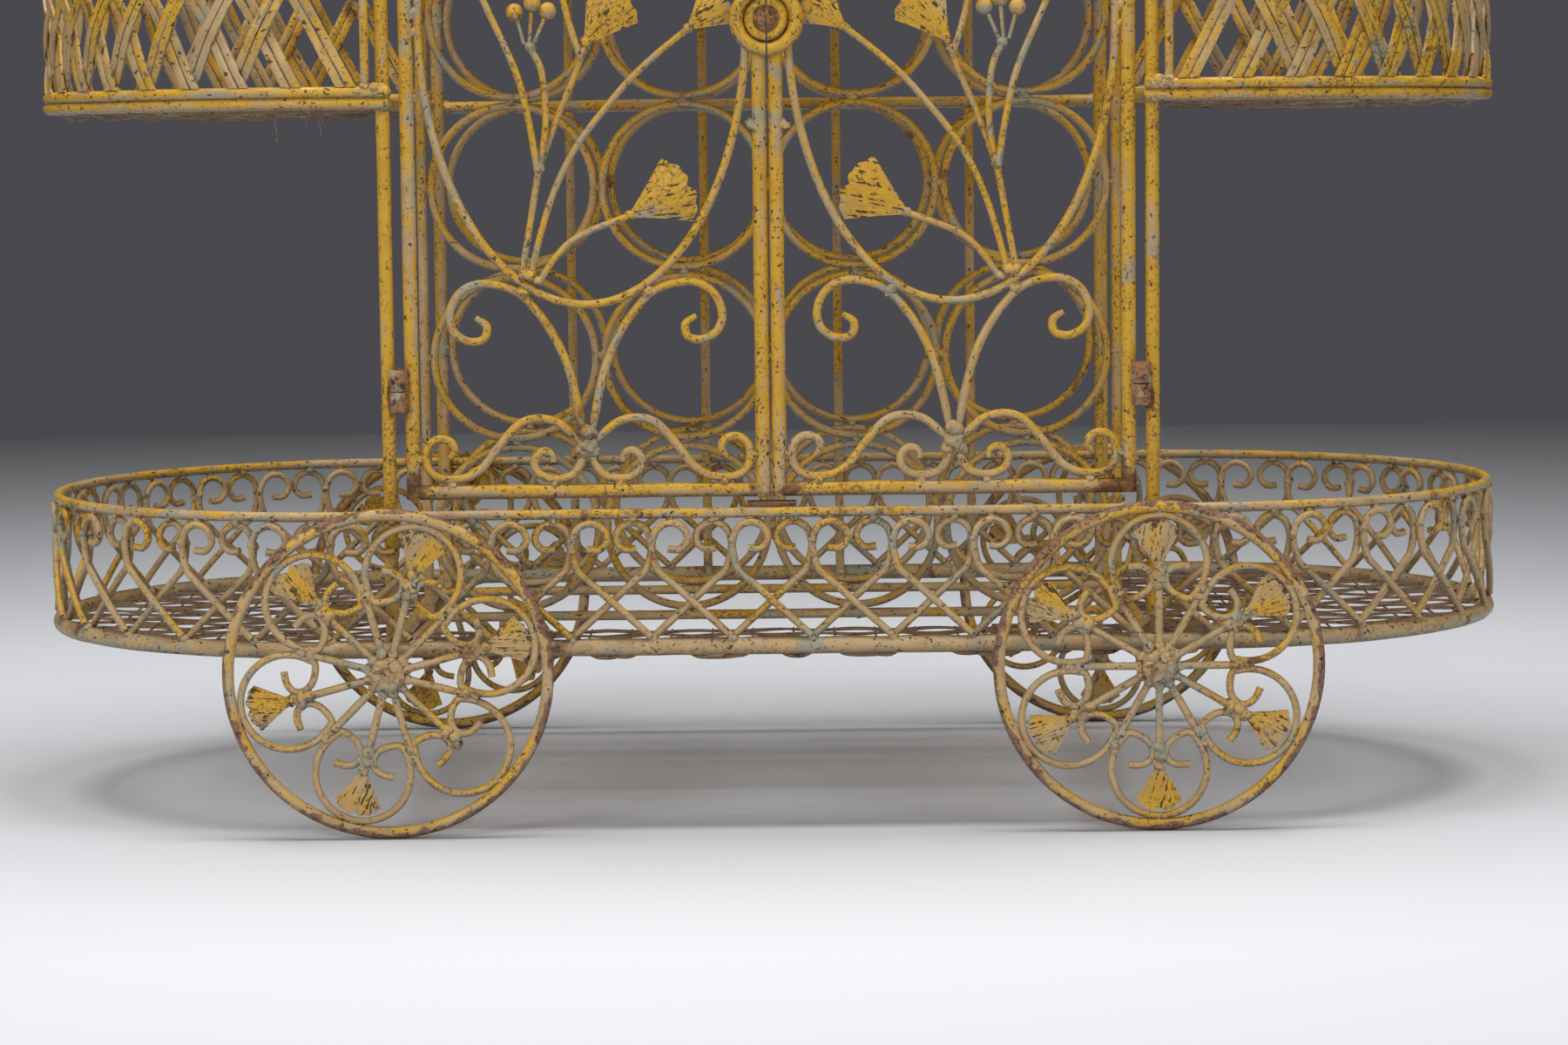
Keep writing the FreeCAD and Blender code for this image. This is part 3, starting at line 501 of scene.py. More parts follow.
def paint_group():
    """Layers of old paint: yellow over buff over grey-green, chipped to rusty metal, with painted
    shade on the undersides.
    """
    tree = bpy.data.node_groups.new("Chipped paint", "ShaderNodeTree")
    for way, kind, names in (("INPUT", "Color", PAINT_COLOURS), ("INPUT", "Float", PAINT_SHARES),
                             ("OUTPUT", "Color", ("Colour",)),
                             ("OUTPUT", "Float", ("Roughness", "Height"))):
        for name in names:
            tree.interface.new_socket(name, in_out=way, socket_type=f"NodeSocket{kind}")
    graph = Graph(tree)
    given = tree.nodes.new("NodeGroupInput").outputs
    place = graph.add("TexCoord")
    spot, facing = place.outputs["Object"], place.outputs["Normal"]
    along, wear, coat, rusted = (
        graph.add("Attribute", attribute_name=name).outputs["Fac"] for name in MARKS)
    upward = graph.add("SeparateXYZ", {0: facing}).outputs[2]
    height = graph.add("SeparateXYZ", {0: spot}).outputs[2]

    broad, patch, worn, fleck, speck = (
        graph.noise(spot, scale, detail) for scale, detail in
        ((17.0, 2.0), (60.0, 4.0), (38.0, 3.0), (210.0, 2.0), (520.0, 3.0)))
    streak = graph.noise(facing, 0.9, 2.0, graph.math("MULTIPLY", along, 30.0))
    scratch = graph.noise(facing, 2.2, 4.0, graph.math("MULTIPLY", along, 170.0))

    def mottled(name, mask, share, dark):
        return graph.mix(mask, given[name], graph.mix(share, given[name], dark))

    # yellow lies in long patches, thickest on the upper sides
    cover = graph.gather(
        0.0, (broad, 0.5), (upward, 0.075), (streak, 0.5), (given["Top coat share"], 1.0),
        (graph.rise(height, 0.08, 0.34), 0.075), (wear, -0.08), (coat, 1.0))
    top = mottled("Top coat", graph.rise(patch, 0.42, 0.62), 0.35, DEEP_YELLOW)
    buff = mottled("Base coat", graph.rise(patch, 0.40, 0.62), 0.35, DARK_BUFF)
    colour_now = graph.mix(graph.rise(cover, 0.50, 0.60), buff, top)

    # grey-green shows underneath, near welds and in rubbed patches
    rubbed = graph.gather(worn, (upward, -0.085), (wear, 0.12), (coat, -0.6),
                          (given["Undercoat share"], 1.0))
    grey = graph.rise(rubbed, 0.575, 0.69)
    colour_now = graph.lay(colour_now, given["Undercoat"], grey, 0.85)

    # rust stains
    stain = graph.gather(graph.math("MULTIPLY", wear, given["Rust where worn"]), (broad, 0.3),
                         (patch, 0.7), (rusted, 0.26), (given["Rust share"], 1.0))
    rusty = graph.rise(stain, 0.60, 0.70)
    flecks = graph.rise(graph.gather(speck, (fleck, 0.5)), 0.70, 0.82)
    colour_now = graph.lay(colour_now, mottled("Rust", flecks, 0.65, BURNT_RUST), rusty, 0.9)

    # dark chips run along the wires, and fine dirt lies between them
    chipped = graph.gather(scratch, (wear, 0.03), (fleck, 0.55), (given["Chip share"], 1.0))
    chips = graph.rise(chipped, 0.895, 0.93)
    colour_now = graph.lay(colour_now, given["Chip"], chips, 0.9)
    dirty = graph.rise(graph.gather(speck, (upward, -0.06), (broad, 0.5)), 0.82, 0.93)
    colour_now = graph.lay(colour_now, DIRT, dirty, 0.65)

    # painted shade: a dark brown laid over the undersides, mottled by the patch noise
    below = graph.gather(upward, (graph.math("SUBTRACT", patch, 0.5), 0.9))
    colour_now = graph.lay(colour_now, UNDERSIDE_SHADE, graph.rise(below, 0.15, -0.95), 0.6)

    bare = graph.math("MAXIMUM", chips, rusty)
    out = tree.nodes.new("NodeGroupOutput").inputs
    graph.put(out["Colour"], colour_now)
    graph.put(out["Roughness"], graph.gather(0.33, (bare, 0.30), (speck, 0.2)))
    graph.put(out["Height"], graph.gather(0.0, (speck, 0.5), (chips, -0.8), (patch, 0.5)))
    return tree


# slot: its shares in the order of PAINT_SHARES, then the bump's strength and depth in millimetres
FINISHES = {
    "painted_wire": (0.0, 0.0, 0.0, 0.0, 0.05, 0.45, 0.25),
    "painted_leaf": (0.05, 0.04, -0.03, -0.05, 0.0, 0.5, 0.3),
    "painted_splint": (-0.03, 0.0, 0.0, -0.02, 0.0, 0.4, 0.25),
    "painted_sheet": (-0.10, 0.0, 0.0, 0.02, 0.1, 0.4, 0.3),
    "worn_rim": (0.04, 0.0, -0.01, -0.02, 0.0, 0.6, 0.35),
    "rusted_steel": (0.06, 0.01, 0.0, -0.02, 0.26, 0.7, 0.45),
    "rusty_weave": (-0.3, 0.04, 0.0, 0.0, 0.0, 0.6, 0.3),
}


def paint_materials(colours):
    group = paint_group()
    for slot, (*shares, bump, depth) in FINISHES.items():
        material = bpy.data.materials.new(f"{slot}_finish")
        material.use_nodes = True
        graph = Graph(material.node_tree)
        shader = material.node_tree.nodes["Principled BSDF"]
        shader.inputs["Specular IOR Level"].default_value = 0.5
        base = colours.twig if slot == "rusty_weave" else colours.base_coat
        rusts = {"worn_rim": colours.rim_rust, "rusted_steel": colours.hinge_rust}
        coats = (colours.top_coat, base, colours.undercoat, colours.chip,
                 rusts.get(slot, colours.rust))
        layers = graph.add("Group", node_tree=group)
        for name, value in zip(PAINT_COLOURS + PAINT_SHARES, (*coats, *shares)):
            layers.inputs[name].default_value = value
        relief = graph.add("Bump", {"Strength": bump, "Distance": depth * MM,
                                    "Height": layers.outputs["Height"]})
        graph.put(shader.inputs["Base Color"], layers.outputs["Colour"])
        graph.put(shader.inputs["Roughness"], layers.outputs["Roughness"])
        graph.put(shader.inputs["Normal"], relief.outputs["Normal"])


class TROLLEY_OT_paint(bpy.types.Operator):
    """Mixes the paints and rusts that the pieces share"""
    bl_idname = "trolley.paint"
    bl_label = "Mix the paints"

    def execute(self, context):
        paint_materials(context.scene.trolley_colours)
        return {"FINISHED"}


# ---------------------------------------------------------------- tray

def oval(level):
    count = round(TRAY_RUN / 7.0)
    return [around(TRAY_RUN * k / count, 0, level) for k in range(count)]


def uneven(points, radius):
    """Welds at the points, some a little larger than others."""
    return [(p, radius + 0.5 * noise.noise(p * 0.1)) for p in points]


def heart_line(half, lobe_top, foot):
    """One wire of a heart: hook, lobe, then straight down to its foot."""
    bends = [(-0.60, -15.0), (-0.30, -15.3), (-0.10, -9.6), (-0.22, -2.8), (-0.53, 0.2),
             (-0.84, -3.0), (-0.985, -11.0), (-0.955, -19.5), (-0.83, -28.0)]
    points = [Vector((part * half, lobe_top + drop)) for part, drop in bends]
    end = Vector((0.95 * half, foot))
    points += [points[-1].lerp(end, 0.12), points[-1].lerp(end, 0.45), end]
    return smooth(points, 2.8)


class TROLLEY_OT_tray_rails(bpy.types.Operator):
    """Bends the tray's bottom rail and the gallery rail, with their welds and the door keeper"""
    bl_idname = "trolley.tray_rails"
    bl_label = "Tray rails"

    def execute(self, context):
        rail = size("tray_rail")
        feet = [around((k + 0.5) * HEART_PITCH, 0.4, TRAY_Z + rail * 0.42) for k in range(HEARTS)]
        piece("tray_bottom_rail", [(oval(TRAY_Z), rail, "closed")], 12, 0.0, uneven(feet, 3.4),
              coat=-0.13)

        rail = size("gallery_rail")
        bench = Bench("tray_top_rail")
        bench.wires([(oval(GALLERY_Z), rail, "closed")], 10, 0.0)
        tops = [around((k + side * 0.27) * HEART_PITCH, 0, GALLERY_Z - rail * 0.55)
                for k in range(HEARTS) for side in (-1, 1)]
        bench.weld(uneven(tops, 2.6))
        plate = fresh(bpy.ops.mesh.primitive_cube_add, size=1.0)
        with editing():
            bpy.ops.transform.resize(value=(29.0, 15.0, 2.8))
            bpy.ops.mesh.bevel(offset=0.7, segments=2)
            bpy.ops.mesh.subdivide(number_cuts=2)
        for corner in plate.data.vertices:
            corner.co.z += 0.25 * noise.noise(corner.co * 0.2)
        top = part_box("tray_top_rail")[1].z / MM
        bench.copies([taken(plate)], [Vector((0, -CABINET_Y - 1.5, top - 1.5)).__add__])
        bench.complete(rusted=lambda p: 1.0 if abs(p.x) < 16 and p.z > GALLERY_Z + 3.2 else 0.0)
        return {"FINISHED"}


class TROLLEY_OT_hearts(bpy.types.Operator):
    """Bends the wires of the gallery's hearts, one layer leaning each way"""
    bl_idname = "trolley.hearts"
    bl_label = "Gallery hearts"

    def execute(self, context):
        dia = size("heart_wire")
        line = heart_line(HEART_PITCH / 2, GALLERY_Z - 5.5, TRAY_Z + 6.4)
        for name, mirror in (("outer", 1), ("inner", -1)):
            wires = []
            for heart in range(HEARTS):
                lean = 0.7 * noise.noise(Vector((heart * 1.7, mirror, 0)))
                wires.append(([around(
                    heart * HEART_PITCH + mirror * p.x + lean * (p.y - TRAY_Z) / 70,
                    mirror * (dia / 2 + 0.05), p.y) for p in line], dia))
            sides = [around((k + 0.5) * HEART_PITCH, mirror * dia / 2, GALLERY_Z - 16.5)
                     for k in range(HEARTS)]
            piece(f"gallery_hearts_{name}", wires, 8, 0.15, [(p, 2.5) for p in sides],
                  reach=8.0, coat=-0.03)
        return {"FINISHED"}


def woven_floor(node, near, far, low_y, high_y, level, edge, row=22.0, sag=0.0, count=3):
    """Bundles of thin brown twigs that part and meet, leaving long gaps.

    near(y) and far(y) are its ends and edge(x) its reach in Y. It has count twigs in a bundle,
    a bundle every row, and hangs by sag in its middle.
    """
    twig = size("twig")
    gap = 48.0
    strands = []
    bundles = math.ceil((high_y - low_y) / row) + 1
    middle = (low_y + high_y) / 2
    for bundle in range(bundles):
        base = middle + (bundle - (bundles - 1) / 2) * row
        for k in range(count):
            y = base + (k - (count - 1) / 2) * row * 0.13
            if not low_y < y < high_y:
                continue
            start, stop = near(y), far(y)
            if stop - start < 25:
                continue
            steps = max(4, int((stop - start) / 9))
            key = bundle * 7.3 + k * 1.9
            line = []
            for i in range(steps + 1):
                x = start + (stop - start) * i / steps
                wave = 0.2 * row * math.cos(2 * math.pi * x / gap + math.pi * bundle)
                drift = 6.5 * noise.noise(Vector((x * 0.026, key, 1.0)))
                lift = 1.1 * noise.noise(Vector((x * 0.03, key, 5.0)))
                reach = max(4.0, edge(x) - 0.8)
                spot = max(-reach, min(reach, y + wave + drift))
                drop = sag * math.sin(math.pi * i / steps) * (1 - (spot / (reach + 1)) ** 2) ** 0.5
                line.append(Vector((x, spot, level + lift - drop)))
            thick = twig * (1 + 0.35 * noise.noise(Vector((key, 0, 0))))
            strands.append((smooth(line, 6.5), thick))
    ribs = []
    first, last = near(middle), far(middle)
    number = max(2, round((last - first) / (gap / 2)))
    for i in range(number):
        x = first + (last - first) * (i + 0.5) / number
        half = min(edge(x), (high_y - low_y) / 2)
        if edge(x) > 20:
            line = straight(Vector((x, middle - half, level)), Vector((x, middle + half, level)),
                            9.0)
            for place, point in enumerate(line):
                point.z -= 0.6 + sag * math.sin(math.pi * place / (len(line) - 1)) * 0.9
            ribs.append((line, twig * 0.9))
    bench = Bench(node)
    bench.wires(strands, 6, 0.25)
    bench.wires(ribs, 6, 0.5)
    return bench


def end_floor(node, side, inner, radius, level, sag, count=3):
    """A half-round woven floor inside a bent rod."""
    def reach_x(y):
        return HALF + math.sqrt(max(0.0, radius**2 - y**2))

    def reach_y(x):
        past = abs(x) - HALF
        return radius if past < 0 else math.sqrt(max(0.0, radius**2 - past**2))

    if side > 0:
        ends = (lambda y: inner), reach_x
    else:
        ends = (lambda y: -reach_x(y)), (lambda y: -inner)
    return woven_floor(node, *ends, -radius + 1, radius - 1, level, reach_y, sag=sag, count=count)


class TROLLEY_OT_woven_floors(bpy.types.Operator):
    """Weaves the twig floors of the tray and the baskets"""
    bl_idname = "trolley.woven_floors"
    bl_label = "Woven floors"

    def execute(self, context):
        tray = END_R - size("tray_rail") / 2 + 1.2
        basket = BASKET_END - size("basket_rod") / 2 + 1.2
        inner = POST_X + 3
        for name, side in SIDES:
            end_floor(f"tray_weave_{name}", side, inner, tray, TRAY_Z, 2.0).complete()
            bench = end_floor(f"basket_{name}_weave", side, inner, basket, MIDDLE_Z - 1.5, 5.5, 5)
            if side < 0:
                bench.wires(self.loose_ends(), 6, 0.3)
            bench.complete()
        low, high = cad_box("tray_weave_front")
        reach = POST_X - 3
        bench = woven_floor("tray_weave_front", lambda y: -reach, lambda y: reach, low.y - 1.5,
                            high.y + 1.5, TRAY_Z, lambda x: -low.y + 1.5, row=19.0)
        bench.wires(self.stubs(), 6, 0.2)
        bench.complete()
        return {"FINISHED"}

    def loose_ends(self):
        """Broken twig ends that hang under the left basket."""
        ends = []
        for x, y, fall, splay in ((-285, -188, 19, 1.5), (-262, -186, 9, -5), (-262, -186, 15, 4),
                                  (-263, -186, 11, 8)):
            top = Vector((x, y, MIDDLE_Z - 3))
            bend = top + Vector((splay * 0.7, 0, -fall * 0.5))
            ends.append((smooth([top, bend, top + Vector((splay, 0, -fall))], 2.0), 1.0, "drawn"))
        return ends

    def stubs(self):
        """Twig ends turned under the front of the tray's rail."""
        ends = []
        for k in range(14):
            x = -205 + 30 * k + 9 * math.sin(2.7 * k)
            long = 16 + 9 * math.sin(4.1 * k)
            z = TRAY_Z - 5.6 + 0.3 * math.sin(3.3 * k)
            points = [(x, -197, z + 1.5), (x + 4, -200, z), (x + long, -200.5, z),
                      (x + long + 4, -197, z + 1.5)]
            ends.append((smooth(points, 3.0), 2.4))
        return ends


# ---------------------------------------------------------------- cabinet

def rods(node, runs, dia, welds=(), sides=12, reach=11.0, sway=0.22, **finish):
    """A piece of straight rods, with places as plain numbers."""
    wires = [(straight(Vector(a), Vector(b), 11.0), dia) for a, b in runs]
    welds = [(Vector(centre), radius) for centre, radius in welds]
    piece(node, wires, sides, sway, welds, reach=reach, **finish)


def rectangle(x0, y0, x1, y1, level):
    """A level rectangle's corners and the runs between them."""
    ends = [(x0, y0, level), (x1, y0, level), (x1, y1, level), (x0, y1, level)]
    return ends, [(ends[k], ends[(k + 1) % 4]) for k in range(4)]


class TROLLEY_OT_cabinet_frame(bpy.types.Operator):
    """Stands up the posts and back bars and joins them with the cabinet's rails"""
    bl_idname = "trolley.cabinet_frame"
    bl_label = "Cabinet frame"

    def execute(self, context):
        post = size("post")
        corners = [(x, y) for x in (-POST_X, POST_X) for y in (-CABINET_Y, CABINET_Y)]
        runs = [((x, -194, TRAY_Z), (x, 194, TRAY_Z)) for x in (-POST_X, POST_X)]
        rods("tray_cross_rods", runs, post, [((x, y, TRAY_Z - 1), 4.2) for x, y in corners])
        runs = [((x, y, POST_FOOT), (x, y, POST_TOP)) for x, y in corners]
        welds = [((x, y * 1.016, z), 3.6) for x, y in corners for z in (GALLERY_Z, MIDDLE_Z)]
        welds += [((x, y, POST_FOOT + 1.5), 4.8) for x, y in corners]
        rods("corner_posts", runs, post, welds, coat=0.09, rusted=self.beside_hinges)
        runs = [((x, BACK_BAR_Y, low), (x, BACK_BAR_Y, high)) for x in BACK_BARS
                for low, high in ((TRAY_Z - 2.5, MIDDLE_Z - 3.8), (MIDDLE_Z + 3.8, POST_TOP))]
        welds = [((x, BACK_BAR_Y, z), 3.3) for x in BACK_BARS for z in (TRAY_Z + 1, GALLERY_Z)]
        rods("back_bars", runs, size("back_bar"), welds)
        reach = CABINET_Y - 3.6
        runs = [((x, -reach, MIDDLE_Z), (x, reach, MIDDLE_Z)) for x in (-POST_X, POST_X)]
        runs.append(((-217.8, CABINET_Y, MIDDLE_Z), (217.8, CABINET_Y, MIDDLE_Z)))
        welds = [((x, CABINET_Y, MIDDLE_Z), 4.4) for x in BACK_BARS + (-216, 216)]
        rods("cabinet_middle_rails", runs, post, welds)
        ends, runs = rectangle(-POST_X, -CABINET_Y, POST_X, CABINET_Y, TOP_Z)
        welds = [(Vector(p) - Vector((0, 0, 0.2)), 3.7) for p in ends]
        rods("cabinet_top_rail", runs, post, welds, reach=10.0, sway=0.1)
        return {"FINISHED"}

    def beside_hinges(self, point):
        """Rust that has run from the hinges on to the front posts."""
        if point.y > 0 or abs(point.x) > POST_X:
            return 0.0
        return max(0.9 - abs(point.z - level) / 22 for level in HINGE_LEVELS)


def board(node, strips, thick, level):
    """A deck or shelf of bevelled strips, each (x0, y0, x1, y1)."""
    strip = fresh(bpy.ops.mesh.primitive_cube_add, size=1.0)
    with editing():
        bpy.ops.transform.resize(value=(*STRIP, thick))
        bpy.ops.mesh.bevel(offset=0.8, segments=2)
    # the paint's pattern runs across the strip, and drifts a little along it
    note(strip.data, "along",
         [1.0 + (corner.co.y + corner.co.x * 0.09) * MM for corner in strip.data.vertices])
    shape = taken(strip)

    def placed(corners):
        x0, y0, x1, y1 = corners
        wide, deep = (x1 - x0) / STRIP[0], (y1 - y0) / STRIP[1]
        middle = Vector(((x0 + x1) / 2, (y0 + y1) / 2, level))
        return lambda p: middle + Vector((p.x * wide, p.y * deep, p.z))

    bench = Bench(node)
    bench.copies([shape], [placed(s) for s in strips])
    bench.complete(worn=lambda p: max(0.0, min(abs(p.x) - 216, 8) / 12))


class TROLLEY_OT_deck_and_shelf(bpy.types.Operator):
    """Lays the slats of the top deck and the shelf over the bottle rack"""
    bl_idname = "trolley.deck_and_shelf"
    bl_label = "Deck and shelf"

    def execute(self, context):
        low, high = cad_box("top_deck")
        deep = (high.y - low.y) / SLATS
        gap = 0.7
        strips = [(low.x, low.y + deep * k + (gap if k else 0), high.x,
                   low.y + deep * (k + 1) - (gap if k < SLATS - 1 else 0)) for k in range(SLATS)]
        board("top_deck", strips, high.z - low.z, (low.z + high.z) / 2)
        low, high = cad_box("shelf_slats")
        share = 0.72
        pitch = (high.y - low.y) / (SLATS - 0.28)
        strips = [(low.x, low.y + pitch * k, high.x, low.y + pitch * (k + share))
                  for k in range(SLATS)]
        board("shelf_slats", strips, high.z - low.z, (low.z + high.z) / 2)
        low, high = cad_box("shelf_frame")
        rod = size("rack_rod")
        inset = rod / 2
        ends, runs = rectangle(low.x + inset, low.y + inset, high.x - inset, high.y - inset,
                               SHELF_Z)
        rods("shelf_frame", runs, rod, [(p, 3.0) for p in ends], 10)
        return {"FINISHED"}


class TROLLEY_OT_bottle_rack(bpy.types.Operator):
    """Welds the two panels of bottle rings on their rods"""
    bl_idname = "trolley.bottle_rack"
    bl_label = "Bottle rack"

    def execute(self, context):
        rod, wire = size("rack_rod"), size("rack_wire")
        levels = (TRAY_Z + rod / 2, RACK_TOP_Z)
        runs = [((-217.6, y, z), (217.6, y, z)) for y in RACK_YS for z in levels]
        welds = [((x * RACK_PITCH, y, z), 2.9) for y in RACK_YS for z in levels
                 for x in (-1.5, -0.5, 0.5, 1.5)]
        rods("rack_rails", runs, rod, welds, 10)
        post_x = 2 * RACK_PITCH + rod / 2 + 0.15
        feet = [(x, y) for x in (-post_x, post_x) for y in RACK_YS]
        runs = [((x, y, RACK_FOOT), (x, y, RACK_TOP_Z - 2.9)) for x, y in feet]
        welds = [((x * (1 - 0.006), y, RACK_FOOT + RACK_PITCH * (k + 0.5)), 2.8)
                 for x, y in feet for k in range(4)]
        rods("rack_posts", runs, rod, welds, 10)
        radius = RACK_PITCH / 2 - wire / 2 - 0.1
        for name, y in zip(("front", "back"), RACK_YS):
            rings, welds = [], []
            for column, row in ((column, row) for column in range(4) for row in range(4)):
                x = (column - 1.5) * RACK_PITCH
                z = RACK_FOOT + RACK_PITCH * (row + 0.5) - 0.15
                start = 47 * column + 91 * row
                circle = arc((x, z), radius, start, start + 360, 72)[:-1]
                rings.append(([Vector((a, y, b)) for a, b in circle], wire, "closed"))
                if column < 3:
                    welds.append((Vector((x + RACK_PITCH / 2, y, z)), 2.9))
                if row < 3:
                    welds.append((Vector((x, y, z + RACK_PITCH / 2)), 2.9))
            piece(f"rack_rings_{name}", rings, 8, 0.0, welds, reach=13.0)
        return {"FINISHED"}


# ---------------------------------------------------------------- leaves

def leaf_shape():
    """A ridged fan leaf, its root at the origin, one long and one wide."""
    item = fresh(bpy.ops.mesh.primitive_grid_add, x_subdivisions=10, y_subdivisions=30, size=1.0)
    wear, run = [], []
    for corner in item.data.vertices:
        outward, across = corner.co.x + 0.5, corner.co.y * 2
        rim = 0.985 - 0.24 * across**2 - 0.075 * math.exp(-(across / 0.13) ** 2)
        rim += 0.018 * math.sin(15 * across)
        half = 0.04 + 0.5 * (1 - 0.10 * across**2) * outward**1.1
        ridge = math.cos(26 * across + 1.3 * math.sin(5 * across))
        ridge *= 0.75 + 0.5 * math.sin(9 * across + 1)
        swell = 0.010 * ridge * outward + 0.05 * (1 - across**2) * outward - 0.03 * outward**2
        swell += 0.02 * math.sin(3 * across + 2) * outward**2
        corner.co = (outward * rim, across * half, swell)
        edge = max(0.0, (outward - 0.88) * 5, (abs(across) - 0.9) * 6)
        deep = max(0.0, -ridge - 0.35) * outward**0.5
        wear.append(min(1.0, max(edge, deep * 0.6, 1 - outward * 6)))
        run.append(1.0 + 0.05 * across * half + 0.014 * outward)
    note(item.data, "wear", wear)
    note(item.data, "along", run)
    shell = item.modifiers.new("Wall", "SOLIDIFY")
    shell.thickness = 0.045
    shell.offset = 0.0
    bpy.ops.object.modifier_apply(modifier=shell.name)
    return taken(item)


# ---------------------------------------------------------------- doors

# The doors' wires are drawn in their lower left quarter or half: (across from the door's
# middle, height over its sill).
C_SCROLL = [(-64, 101.5), (-57.5, 96.5), (-59, 89.5), (-67, 87.5), (-76, 92.5), (-79, 102),
            (-76, 112), (-69.5, 118.4), (-61, 121), (-50, 120), (-38.9, 115.6), (-28, 104.5),
            (-18.2, 89.5), (-11.8, 75), (-7.7, 60.5), (-4.8, 47), (-2.9, 35.9)]
S_SCROLL = [(-80.5, 20.0), (-77.6, 24.5), (-80, 29.5), (-87, 31), (-93, 26.5), (-94.3, 18.5),
            (-91.5, 11.5), (-85.5, 7.9), (-77, 7.4), (-69, 9), (-61.5, 14), (-52.5, 25.5),
            (-41, 38.5), (-34.5, 41.8), (-28, 42.5), (-21.5, 41.6), (-16.6, 39.6), (-9.8, 34.2),
            (-4.2, 28.6)]
CURL = [(-2.7, 24.5), (-4.6, 15.5), (-9.5, 9.3), (-17.5, 7.3), (-25, 8.3), (-30.6, 13),
        (-30.8, 19.5), (-26, 23.6), (-20.8, 21.6), (-20.2, 17.2)]
STEM = [(-36.4, 127.6), (-30.6, 160), (-25.3, 190.5), (-22.2, 207), (-21.6, 222.5),
        (-24.2, 245.5), (-29.4, 256)]
BRANCH = [(-26.5, 186), (-30.6, 212), (-36.4, 237.5), (-42, 252.5), (-48.5, 267), (-56, 284),
          (-61.2, 300), (-64, 314)]
LEFT_TWIG = [(-26, 186), (-21, 200.5), (-15.6, 215), (-11, 226), (-6, 237.5), (-1.6, 249),
             (1.5, 258)]
HIGH_TWIG = [(-1, 251), (-6.4, 268), (-11, 286)]
LOCK_STEM = [(-32, 124), (-28.6, 138), (-24, 154.5), (-19, 169.5), (-13, 183.5), (-5.9, 196.8),
             (2.3, 208.5), (14, 222.8), (27, 237.5), (43, 252.2), (60.5, 266)]
LOW_STEM = [(-27.2, 121), (-19.5, 132.8), (-11, 142.5), (-5, 146.9), (1, 150), (13, 154.8),
            (26, 159.4)]
BERRIES = (((-33.2, 258.8), (-37, 272.6)), ((-30.2, 258.9), (-28.6, 277.6)),
           ((-27.2, 259.9), (-21.4, 273.2)))
# root, turn in degrees, share of the full length, and layer
LEAVES = (((26.6, 159.8), 28, 1.0, 0), ((61.2, 266.6), 40, 0.7, 0), ((1.8, 258.8), 55, 0.9, -1),
          ((-64.5, 315), 112, 0.8, 1), ((-11.3, 287), 100, 0.7, 0))
LEAF_LENGTH = 41


